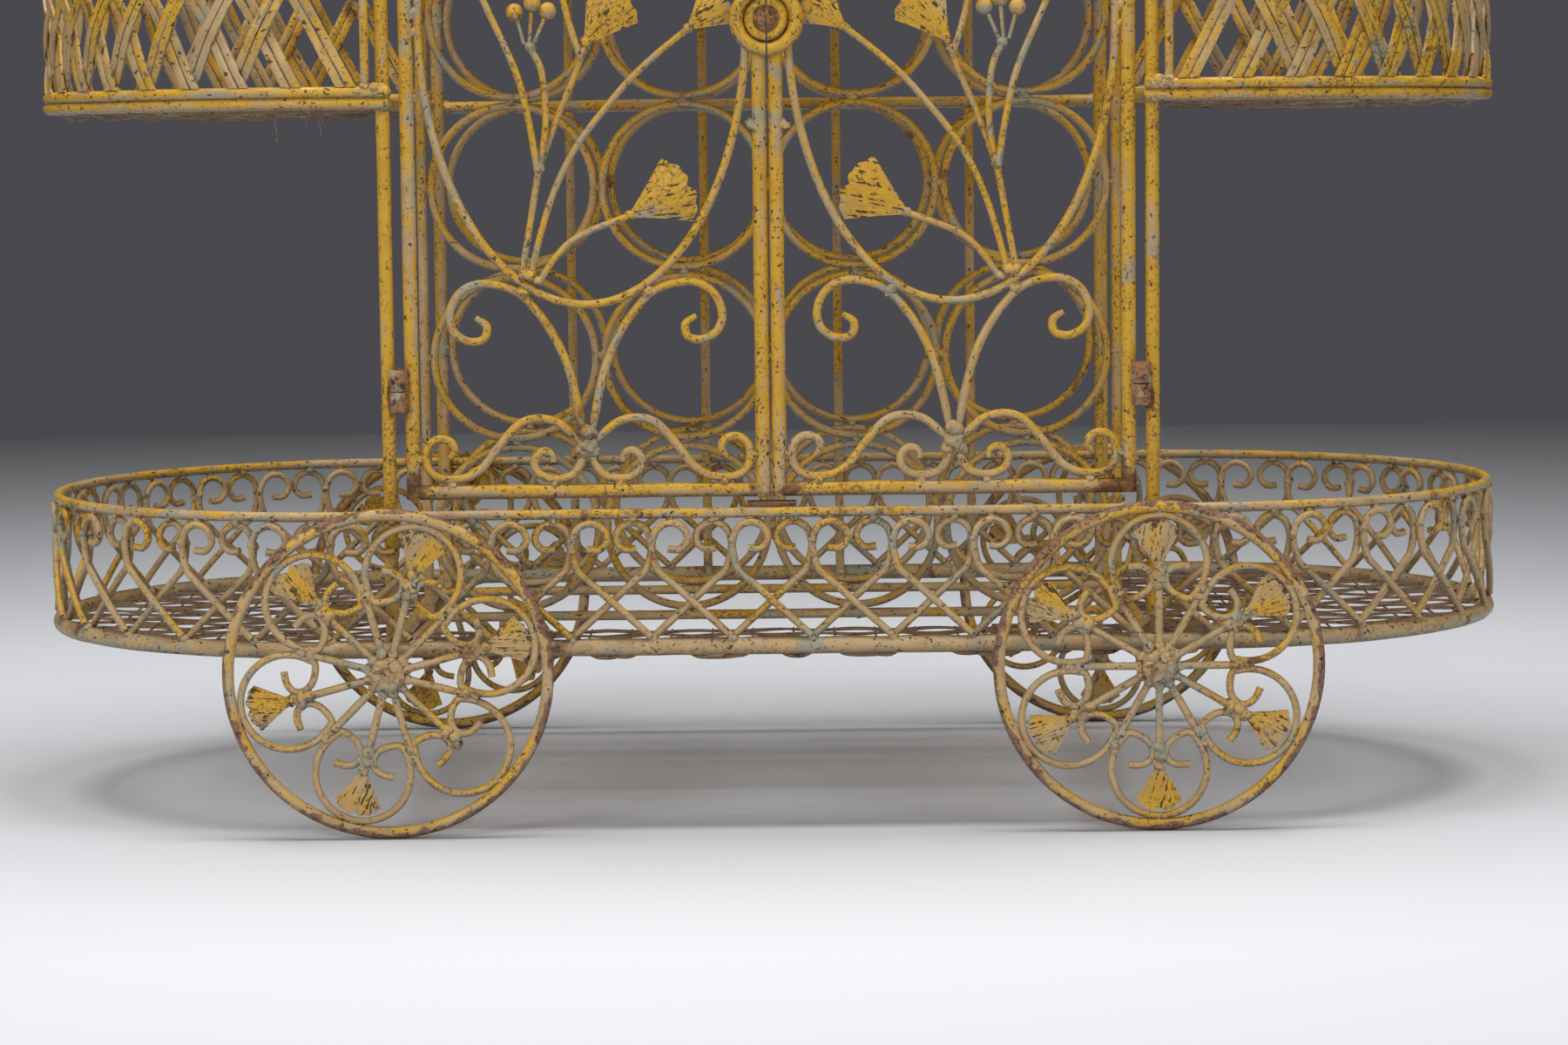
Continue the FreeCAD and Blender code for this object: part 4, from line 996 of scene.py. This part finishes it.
class TROLLEY_OT_doors(bpy.types.Operator):
    """Makes both doors: frame, oval, scrolls, vines with leaves and berries"""
    bl_idname = "trolley.doors"
    bl_label = "Doors"

    def execute(self, context):
        leaf = leaf_shape()
        for self.side, self.sign in SIDES:
            self.frame()
            self.scrolls()
            self.vines()
            self.leaves(leaf)
        return {"FINISHED"}

    def spot(self, across, rise, out=0.0):
        return Vector((self.sign * (DOOR_MID - across), -CABINET_Y - out, DOOR_SILL + rise))

    def frame(self):
        rod = size("door_rod")
        edges, levels = (-DOOR_HALF, DOOR_HALF), (0, DOOR_HEIGHT)
        runs = [((a, -rod / 2 + 0.3), (a, DOOR_HEIGHT + rod / 2 - 0.3)) for a in edges]
        runs += [((-DOOR_HALF, rise), (DOOR_HALF, rise)) for rise in levels]
        wires = [(straight(self.spot(*a), self.spot(*b), 10.0), rod) for a, b in runs]
        joints = [(m * a, abs(b - r)) for m in (1, -1) for a, b in ((-79, 4.2), (-19, 4.0))
                  for r in levels]
        joints += [(m * 97.3, abs(19 - r)) for m in (1, -1) for r in levels]
        joints += [(97.0, DOOR_HEIGHT / 2 + r) for r in (-60, 0, 60)]
        joints += [(-97.0, DOOR_HEIGHT / 2 + r) for r in (-5, 5)]
        welds = [(self.spot(a, b), 3.6) for a in edges for b in levels]
        welds += [(self.spot(*p), 3.3) for p in joints]
        feet = [self.spot(a, 0) for a in edges]
        piece(f"door_{self.side}_frame", wires, 12, 0.12, welds, reach=13.0, coat=0.04,
              rusted=lambda p: max(0.7 - (p - foot).length / 40 for foot in feet))

    def scrolls(self):
        dia = size("door_scroll")
        half = DOOR_HALF - size("door_rod") / 2 - LAYER_GAP - dia / 2
        rise = DOOR_HEIGHT / 2 - 108.5
        turns = [2 * math.pi * k / 200 for k in range(200)]
        wires = [([self.spot(half * math.cos(a), DOOR_HEIGHT / 2 + rise * math.sin(a))
                   for a in turns], dia, "closed")]
        for path in (C_SCROLL, S_SCROLL, CURL):
            for mirror in (1, -1):
                for flip in (0, DOOR_HEIGHT):
                    points = smooth([(mirror * a, abs(flip - b)) for a, b in path], 2.4)
                    wires.append(([self.spot(*p) for p in points], dia * 1.04, "drawn"))
        welds = [(self.spot(a, abs(flip - b), out), r) for flip in (0, DOOR_HEIGHT)
                 for a, b, out, r in (
                     (0, 27, 0.6, 6.4), (0, 33.5, 0.8, 5.6), (-3.5, 23, 0, 4.2),
                     (3.5, 23, 0, 4.2), (-36, 115.8, 0, 3.9), (36, 115.8, 0, 3.9))]
        piece(f"door_{self.side}_scrollwork", wires, 10, 0.12, welds, reach=11.0)

    def vines(self):
        vine = size("vine")
        layer = vine + LAYER_GAP
        bench = Bench(f"door_{self.side}_vines")
        wires = [([self.spot(*p, out) for p in smooth(path, 2.6)], vine) for path, out in (
            (STEM, 0), (BRANCH, layer), (LEFT_TWIG, -layer), (HIGH_TWIG, 0), (LOCK_STEM, 0),
            (LOW_STEM, 0))]
        wires += [(straight(self.spot(*foot), self.spot(*top), 3.0), vine * 0.6)
                  for foot, top in BERRIES]
        bench.wires(wires, 8, 0.1)
        joints = [((-29.6, 257.2), 0, 3.4), ((-25.8, 188), 0, 3.1), ((-25.6, 188), layer / 2, 2.9),
                  ((-26.4, 190), -layer / 2, 2.6), ((-32.6, 126), 0, 4.3), ((-36, 126.5), 0, 3.4),
                  ((-27.6, 122.5), 0, 3.2), ((0.2, 254), -layer / 2, 2.6), ((-22, 233), 0, 2.2)]
        bench.weld([(self.spot(*p, out), radius) for p, out, radius in joints])
        ball = fresh(bpy.ops.mesh.primitive_uv_sphere_add, segments=20, ring_count=14, radius=5.0)
        for corner in ball.data.vertices:
            corner.co *= 1 + 0.05 * noise.noise(corner.co * 0.3)
        centres = []
        for foot, top in BERRIES:
            lean = (top[0] - foot[0]) / (top[1] - foot[1])
            centres.append(self.spot(top[0] + lean * 5, top[1] + 4.6))
        bench.copies([taken(ball)], [centre.__add__ for centre in centres])
        bench.complete(reach=8.0)

    def leaves(self, shape):
        layer = size("vine") + LAYER_GAP
        bench = Bench(f"door_{self.side}_leaves")
        bench.copies([shape], [
            self.leaf_place(root, turn, share * LEAF_LENGTH, out * layer, number)
            for number, (root, turn, share, out) in enumerate(LEAVES)])
        bench.weld([(self.spot(*root, out * layer), 2.4 + 0.8 * share)
                    for root, turn, share, out in LEAVES])
        bench.complete(reach=6.0)

    def leaf_place(self, root, turn, long, out, number):
        angle = math.radians(turn)
        nod = 0.06 * math.sin(2.1 * number)

        def place(point):
            along, aside, lift = point.x * long, point.y * long, point.z * long
            across = root[0] + along * math.cos(angle) - aside * math.sin(angle)
            rise = root[1] + along * math.sin(angle) + aside * math.cos(angle)
            return self.spot(across, rise, out + lift + nod * along)
        return place


class TROLLEY_OT_lock(bpy.types.Operator):
    """Makes the round lock plate, one half on each door, with its hasp eyes"""
    bl_idname = "trolley.lock"
    bl_label = "Lock rosette"

    def execute(self, context):
        low, high = cad_box("door_right_lock")
        middle = Vector((0, (low.y + high.y) / 2, LOCK_Z))
        for side, self.sign in SIDES:
            bench = Bench(f"door_{side}_lock")
            for shape in (self.half_ring(17.3, 4.0, 0.0), self.half_ring(9.9, 2.7, 0.5),
                          self.half_eye()):
                bench.copies([shape], [middle.__add__])
            bench.complete(worn=lambda p: 1.0 if math.hypot(p.x, p.z - LOCK_Z) < 7.3 else 0.1,
                           angle=35.0, coat=0.05)
        return {"FINISHED"}

    def trim(self, item):
        """Cuts a shape at the meeting line of the doors and closes the cut."""
        with editing():
            bpy.ops.mesh.bisect(plane_co=(self.sign * LOCK_GAP, 0, 0), plane_no=(1, 0, 0),
                                use_fill=True, clear_inner=self.sign > 0,
                                clear_outer=self.sign < 0)
        return taken(item)

    def half_ring(self, major, minor, shift):
        item = fresh(bpy.ops.mesh.primitive_torus_add, major_segments=56, minor_segments=14,
                     major_radius=major, minor_radius=minor, rotation=(math.pi / 2, 0, 0))
        for corner in item.data.vertices:
            corner.co.z += shift * corner.co.x / major
            corner.co *= 1 + 0.02 * noise.noise(corner.co * 0.12)
        return self.trim(item)

    def half_eye(self):
        """One staple eye: a low rusty dome with a raised lip beside the slot."""
        item = fresh(bpy.ops.mesh.primitive_uv_sphere_add, segments=28, ring_count=18, radius=7.6)
        for corner in item.data.vertices:
            corner.co.y *= 0.42
            lip = math.exp(-((abs(corner.co.x) - 1.9) / 1.2) ** 2)
            if corner.co.y < 0:
                corner.co.y -= 1.3 * lip * max(0.0, 1 - (corner.co.z / 7.0) ** 2)
            corner.co += noise.noise_vector(corner.co * 0.35) * 0.25
        return self.trim(item)


class TROLLEY_OT_hinges(bpy.types.Operator):
    """Rolls the hinge knuckles and sets their pins"""
    bl_idname = "trolley.hinges"
    bl_label = "Hinges"

    def execute(self, context):
        shape = self.knuckle_shape()
        posts, pins = [], []
        for side, sign in SIDES:
            doors = []
            for level in HINGE_LEVELS:
                posts.append(Vector((sign * HINGE_X, HINGE_Y, level - KNUCKLE_GAP - KNUCKLE / 2)))
                doors.append(Vector((sign * HINGE_X, HINGE_Y, level + KNUCKLE_GAP + KNUCKLE / 2)))
                foot = level - KNUCKLE_GAP - KNUCKLE
                ends = (Vector((sign * HINGE_X, HINGE_Y, z)) for z in (foot, foot + 25.8))
                pins.append((straight(*ends, 6.0), 4.8))
            self.knuckles(f"door_{side}_knuckles", shape, doors, -sign)
        self.knuckles("post_knuckles", shape, posts, None)
        piece("hinge_pins", pins, 10, 0.0, worn=lambda p: 1.0)
        return {"FINISHED"}

    def knuckle_shape(self):
        """A short rolled sleeve with a seam down its back and worn edges."""
        item = fresh(bpy.ops.mesh.primitive_cylinder_add, vertices=28, radius=5.35, depth=KNUCKLE)
        with editing():
            bpy.ops.mesh.bevel(offset=0.5, segments=2)
        for corner in item.data.vertices:
            angle = math.atan2(corner.co.y, corner.co.x)
            inset = 1 - 0.07 * math.exp(-((angle + 0.6) / 0.10) ** 2)
            corner.co.x *= inset
            corner.co.y *= inset
        return taken(item)

    def knuckles(self, node, shape, places, toward):
        """Knuckles with the welds that hold them, towards +X or -X or each to its own post."""
        bench = Bench(node)
        bench.copies([shape], [place.__add__ for place in places])
        lumps = []
        for place in places:
            inward = toward if toward is not None else math.copysign(1.0, place.x)
            for rise in (-3.4, 3.2):
                lumps.append((place + Vector((inward * 3.6, 3.4, rise)), 2.6))
        bench.weld(lumps)
        bench.complete(worn=lambda p: 0.8, angle=35.0, coat=-0.16)


# ---------------------------------------------------------------- baskets

def splint_shape():
    """One straight flat splint, one long: a rounded end face drawn out in short lengths."""
    wide, thick = size("splint_width"), size("splint_thickness")
    item = fresh(bpy.ops.mesh.primitive_circle_add, vertices=12, radius=1.0, fill_type="NGON",
                 rotation=(0, math.pi / 2, 0), location=(-0.5, 0, 0))
    for corner in item.data.vertices:
        for axis, half in ((1, wide / 2), (2, thick / 2)):
            share = corner.co[axis]
            corner.co[axis] = math.copysign(abs(share) ** 0.42, share) * half
    lengths = 24
    with editing():
        for step in range(lengths):
            bpy.ops.mesh.extrude_region_move(
                TRANSFORM_OT_translate={"value": (1 / lengths, 0, 0)})
    edges = [abs(v.co.y) / wide * 2 for v in item.data.vertices]
    note(item.data, "wear", [max(0.0, share - 0.8) * 4 for share in edges])
    return taken(item)


class TROLLEY_OT_baskets(bpy.types.Operator):
    """Makes both side baskets: rods, stakes and the lattice of paired splints"""
    bl_idname = "trolley.baskets"
    bl_label = "Side baskets"

    def execute(self, context):
        shape = splint_shape()
        for side, sign in SIDES:
            self.rods(side, sign)
            for layer, way in (("outer", 1), ("inner", -1)):
                self.splints(side, sign, layer, way, shape)
        return {"FINISHED"}

    def rods(self, side, sign):
        rod = size("basket_rod")
        second = MIDDLE_Z + rod * 0.866 + LAYER_GAP

        def run(level, sag=0.0):
            bend = [around(HALF + math.pi * END_R * k / 100, BASKET_END - END_R, level)
                    for k in range(101)]
            start, end = (Vector((218.0, y, level)) for y in (-BASKET_END, BASKET_END))
            points = straight(start, bend[0], 7.0)[:-1] + bend + straight(bend[-1], end, 7.0)[1:]
            return [Vector((sign * p.x, p.y, p.z - sag * noise.noise(p * 0.006))) for p in points]

        wires = [(run(MIDDLE_Z, 0.5), rod), (run(second, 0.5), rod), (run(BASKET_RIM_Z), rod)]
        stake_x = sign * STAKE_X
        for y in (-BASKET_END, BASKET_END):
            low, high = (Vector((stake_x, y, z)) for z in (second + 3.0, BASKET_RIM_Z - 3.0))
            wires.append((straight(low, high, 8.0), 5.0))
        welds = []
        for y in (-1, 1):
            welds += [(Vector((sign * 221.5, y * 197.6, level)), 4.8)
                      for level in (MIDDLE_Z - 0.5, second + 0.8, BASKET_RIM_Z)]
            welds += [(Vector((sign * 225.5, y * 199.6, second + 2.4)), 3.8),
                      (Vector((stake_x, y * BASKET_END, second + 3.4)), 3.2)]
        piece(f"basket_{side}_frame", wires, 12, 0.15, welds, reach=12.0)

    def splints(self, side, sign, layer, way, shape):
        low = MIDDLE_Z + 9.7
        high = BASKET_RIM_Z - 3.2
        width = size("splint_width") / math.sin(SPLINT_LEAN)
        first = 236.3 - HALF
        lean_run = (high - low) / math.tan(SPLINT_LEAN)
        usable = math.pi * END_R - 2 * first
        pitch = (usable - lean_run - 2 * width) / (SPLINT_PAIRS - 1)
        bench = Bench(f"basket_{side}_splints_{layer}")
        places = []
        for pair in range(SPLINT_PAIRS):
            middle = HALF + first + lean_run / 2 + width + pitch * pair
            for offset in (-0.56 * width, 0.56 * width):
                drift = 1.3 * noise.noise(Vector((pair * 2.3, offset, way)))
                phase = 0.25 * noise.noise(Vector((pair * 4.1, way, 7.0)))
                place = self.splint_place(sign, way, middle + offset, lean_run, low, high,
                                          pitch, drift, phase, 1.0 / math.sin(SPLINT_LEAN))
                places.append(place)
                start = PAINT_SHIFT * len(places)
                bench.line += [(place(Vector((k / 16 - 0.5, 0, 0))) * MM,
                                start + (high - low) * k / 16 * MM) for k in range(17)]
        bench.copies([shape], places)
        bench.complete(angle=40.0)

    def splint_place(self, sign, way, middle, lean_run, low, high, pitch, drift, phase, widen):
        def place(point):
            share = point.x + 0.5
            crossing = lean_run * (2 * share - 1) / pitch
            out = BASKET_END - END_R + way * 1.55 * math.cos(math.pi * (crossing + phase))
            bow = drift * math.sin(math.pi * share)
            run = middle + way * lean_run * (share - 0.5) + point.y * widen + bow
            spot = around(run, out + point.z, low + (high - low) * share)
            return Vector((sign * spot.x, spot.y, spot.z))
        return place


# ---------------------------------------------------------------- wheels

class TROLLEY_OT_wheels(bpy.types.Operator):
    """Makes the four scrolled wheels with their rims, spokes and leaves"""
    bl_idname = "trolley.wheels"
    bl_label = "Wheels"
    ring_centre = 59.9
    ring_r = 27.6

    def execute(self, context):
        leaf = leaf_shape()
        hub = self.hub_shape()
        for (side, x_sign), self.turn in zip(SIDES, (-15.0, 0.0)):
            for end, self.outside in (("front", -1), ("back", 1)):
                self.middle = Vector((x_sign * WHEEL_X, self.outside * WHEEL_Y, AXLE_Z))
                self.wheel = f"wheel_{side}_{end}"
                self.rim()
                self.spokes(hub)
                self.rings_and_leaves(leaf, 1 if (side, end) == ("left", "front") else None)
        return {"FINISHED"}

    def spot(self, along, aside, degrees, out=0.0):
        angle = math.radians(degrees)
        outward = Vector((math.sin(angle), 0, -math.cos(angle)))
        across = Vector((math.cos(angle), 0, math.sin(angle)))
        return self.middle + outward * along + across * aside + BACK * out

    def rim(self):
        rod = size("rim")
        line = AXLE_Z - rod / 2 - 0.1
        circle = [self.spot(line, 0, 3.0 * k) for k in range(120)]

        def tread(point):
            out = math.hypot(point.x - self.middle.x, point.z - self.middle.z) - line
            return 2.2 * out / rod + 0.45 + 1.1 * noise.noise(point * 0.16)
        piece(f"{self.wheel}_rim", [(circle, rod * 0.985, "closed")], 12, 0.0, rusted=tread)

    def hub_shape(self):
        """An uneven knob of weld round the axle's end."""
        item = fresh(bpy.ops.mesh.primitive_uv_sphere_add, segments=36, ring_count=24, radius=8.8,
                     rotation=(math.pi / 2, 0, 0))
        for corner in item.data.vertices:
            corner.co *= 1 + 0.09 * noise.fractal(corner.co * 0.22, 0.9, 2.0, 3)
            corner.co.x *= 1.12
            corner.co.z *= 1.12
            corner.co.y *= 0.72
        return taken(item)

    def spokes(self, hub):
        spoke = size("spoke")
        wires, welds = [], []
        for k in range(12):
            degrees = self.turn + 30.0 * k
            far = 47.0 if k % 2 == 0 else 45.5
            out = -self.outside * 0.6 * (k % 3 - 1)
            ends = self.spot(6, 0, degrees, out), self.spot(far, 0, degrees)
            wires.append((straight(*ends, 7.0), spoke))
            if k % 2:
                welds.append((self.spot(46.0, 0, degrees), 3.4))
                welds.append((self.spot(51.0, 0.8, degrees), 2.8))
            welds.append((self.spot(11.2, 0, degrees, self.outside * 0.6), 3.5))
            welds.append((self.spot(6.6, 0, degrees + 15, self.outside * 4.4), 3.6))
        bench = Bench(f"{self.wheel}_spokes")
        bench.wires(wires, 8, 0.1)
        bench.copies([hub], [self.middle.__add__])
        bench.weld(welds)
        bench.complete(reach=8.0, coat=-0.05)

    def rings_and_leaves(self, leaf, lost):
        """The scroll rings and their leaves; the leaf with the lost number is left out."""
        rings, welds, leaves, roots = [], [], [], []
        hook = [(57.4, 17.6), (57.8, 11.5), (56.2, 6.6), (52.6, 3.9), (47.8, 4.2), (42.6, 8.0)]
        path = arc((self.ring_centre, 0.0), self.ring_r, -140, 140, 40)
        path = [(a, -b) for a, b in hook] + path + hook[::-1]
        line = smooth([(a, b, 0) for a, b in path], 2.6)
        for k in range(6):
            degrees = self.turn + 60.0 * k
            rings.append(([self.spot(p.x, p.y, degrees) for p in line], size("wheel_scroll")))
            welds += [(self.spot(47.5, 0, degrees), 4.2), (self.spot(52.5, 0.8, degrees), 4.4),
                      (self.spot(56.5, -1.0, degrees), 3.4), (self.spot(89.6, 0, degrees), 2.2),
                      (self.spot(52.2, 0, degrees + 30), 2.7)]
            if k != lost:
                leaves.append(self.leaf_place(degrees, k))
                roots.append((self.spot(58.5, 0, degrees, self.outside * 0.8), 3.0))
        piece(f"{self.wheel}_scrolls", rings, 8, 0.1, welds, reach=8.0)
        bench = Bench(f"{self.wheel}_leaves")
        bench.copies([leaf], leaves)
        bench.weld(roots)
        bench.complete(reach=5.0)

    def leaf_place(self, degrees, number):
        nod = 0.05 * math.sin(3.3 * number + degrees)
        swing = Matrix.Rotation(math.radians(4.0 * math.sin(2.3 * number + degrees)), 3, "Z")

        def place(point):
            lift = self.outside * (point.z * 30 + nod * point.x * 30)
            turned = Vector((point.x, point.y, 0)) @ swing
            return self.spot(56.5 + turned.x * 28.5, turned.y * 27.5, degrees, lift)
        return place


class TROLLEY_OT_axles(bpy.types.Operator):
    """Makes the axles and the sleeves they turn in"""
    bl_idname = "trolley.axles"
    bl_label = "Axles and bearings"

    def execute(self, context):
        for side, sign in SIDES:
            ends = (Vector((sign * WHEEL_X, y, AXLE_Z)) for y in (-213, 213))
            piece(f"axle_{side}", [(straight(*ends, 12.0), size("axle"))], 14, 0.0)
        item = fresh(bpy.ops.mesh.primitive_cylinder_add, vertices=28, radius=6.85, depth=25.0,
                     rotation=(math.pi / 2, 0, 0))
        with editing():
            bpy.ops.mesh.bevel(offset=0.6, segments=2)
        places = [Vector((x, y, AXLE_Z)) for x in (-WHEEL_X, WHEEL_X) for y in (-END_R, END_R)]
        bench = Bench("axle_bearings")
        bench.copies([taken(item)], [place.__add__ for place in places])
        bench.weld([(place + Vector((dx, 0, 6.3)), 2.8) for place in places for dx in (-2.5, 2.5)])
        bench.complete(angle=35.0)
        return {"FINISHED"}


# ---------------------------------------------------------------- stage

# lamp: its place, what it points at, its size and its power in watts
LAMPS = {
    "overhead": ((0.0, -0.08, 1.9), (0, -0.08, 0.0), (2.0, 0.9), 43),
    "front_left": ((-1.3, -2.3, 1.4), (0, 0, 0.4), (0.9, 0.9), 18),
    "front_right": ((1.6, -2.4, 1.3), (0, 0, 0.4), (1.1, 1.1), 11),
}
CAMERA_PLACE = (0.007, -2.581, 0.4045)
CAMERA_DIP = 5.4
CAMERA_ROLL = -0.65


class TROLLEY_OT_stage(bpy.types.Operator):
    """Lays the studio floor and sets the lamps and the camera"""
    bl_idname = "trolley.stage"
    bl_label = "Stage"

    def execute(self, context):
        scene = context.scene
        colours = scene.trolley_colours
        floor = fresh(bpy.ops.mesh.primitive_plane_add, size=1.0)
        floor.name = "studio_floor"
        for corner in floor.data.vertices:
            corner.co = (corner.co.x * 14, corner.co.y * 6.1, 0)
        floor.data.materials.append(self.floor_material(colours))

        world = bpy.data.worlds.new("Studio")
        world.use_nodes = True
        graph = Graph(world.node_tree)
        light = world.node_tree.nodes["Background"]
        light.inputs["Color"].default_value = (0.95, 0.97, 1.0, 1.0)
        light.inputs["Strength"].default_value = 0.03
        seen = graph.add("Background", {"Color": colours.backdrop, "Strength": 1.0})
        ray = graph.add("LightPath").outputs["Is Camera Ray"]
        blend = graph.add("MixShader", {0: ray, 1: light.outputs[0], 2: seen.outputs[0]})
        graph.put(world.node_tree.nodes["World Output"].inputs["Surface"], blend.outputs[0])
        scene.world = world
        for name, setting in LAMPS.items():
            self.lamp(name, *setting)

        data = bpy.data.cameras.new("Camera")
        data.sensor_width = 36.0
        data.lens = 94.6
        camera = bpy.data.objects.new("Camera", data)
        scene.collection.objects.link(camera)
        tilt = (Matrix.Rotation(math.radians(90 - CAMERA_DIP), 4, "X")
                @ Matrix.Rotation(math.radians(CAMERA_ROLL), 4, "Z"))
        camera.matrix_world = Matrix.Translation(CAMERA_PLACE) @ tilt
        scene.camera = camera
        scene.view_settings.view_transform = "Standard"
        return {"FINISHED"}

    def floor_material(self, colours):
        """A pale floor whose colour darkens with distance to the backdrop's grey, a painted
        falloff of the light.
        """
        material = bpy.data.materials.new("studio_floor")
        material.use_nodes = True
        graph = Graph(material.node_tree)
        spot = graph.add("TexCoord").outputs["Object"]
        far = graph.add("VectorMath", {0: spot}, operation="LENGTH").outputs["Value"]
        # painted light falloff: the floor's colour turns to the backdrop's dark grey from 1.6 m to
        # 6 m out
        shade = graph.mix(graph.rise(far, 1.6, 6.0), colours.floor, colours.backdrop)
        inputs = material.node_tree.nodes["Principled BSDF"].inputs
        graph.put(inputs["Base Color"], shade)
        inputs["Roughness"].default_value = 0.7
        inputs["Specular IOR Level"].default_value = 0.2
        return material

    def lamp(self, name, place, aim, sizes, power):
        data = bpy.data.lights.new(name, "AREA")
        data.shape = "RECTANGLE"
        data.size, data.size_y = sizes
        data.energy = power
        item = bpy.data.objects.new(name, data)
        item.location = place
        item.rotation_euler = (Vector(aim) - Vector(place)).to_track_quat("-Z", "Y").to_euler()
        bpy.context.scene.collection.objects.link(item)


STEPS = (
    TROLLEY_OT_paint, TROLLEY_OT_tray_rails, TROLLEY_OT_hearts, TROLLEY_OT_woven_floors,
    TROLLEY_OT_cabinet_frame, TROLLEY_OT_deck_and_shelf, TROLLEY_OT_bottle_rack,
    TROLLEY_OT_doors, TROLLEY_OT_lock, TROLLEY_OT_hinges, TROLLEY_OT_baskets,
    TROLLEY_OT_wheels, TROLLEY_OT_axles, TROLLEY_OT_stage,
)


class TROLLEY_PT_panel(bpy.types.Panel):
    """Lists the trolley's pieces in the order they are made"""
    bl_idname = "TROLLEY_PT_panel"
    bl_label = "Wire trolley"
    bl_space_type = "VIEW_3D"
    bl_region_type = "UI"
    bl_category = "Trolley"

    def draw(self, context):
        for group in (context.scene.trolley_sizes, context.scene.trolley_colours):
            box = self.layout.box()
            for name in group.__annotations__:
                box.prop(group, name)
        for step in STEPS:
            self.layout.operator(step.bl_idname)


CLASSES = (TrolleySizes, TrolleyColours, *STEPS, TROLLEY_PT_panel)


def register():
    for item in CLASSES:
        bpy.utils.register_class(item)
    bpy.types.Scene.trolley_sizes = bpy.props.PointerProperty(type=TrolleySizes)
    bpy.types.Scene.trolley_colours = bpy.props.PointerProperty(type=TrolleyColours)


def unregister():
    del bpy.types.Scene.trolley_sizes
    del bpy.types.Scene.trolley_colours
    for item in reversed(CLASSES):
        bpy.utils.unregister_class(item)


def main():
    register()
    for step in STEPS:
        group, name = step.bl_idname.split(".")
        getattr(getattr(bpy.ops, group), name)()


if __name__ == "__main__":
    main()
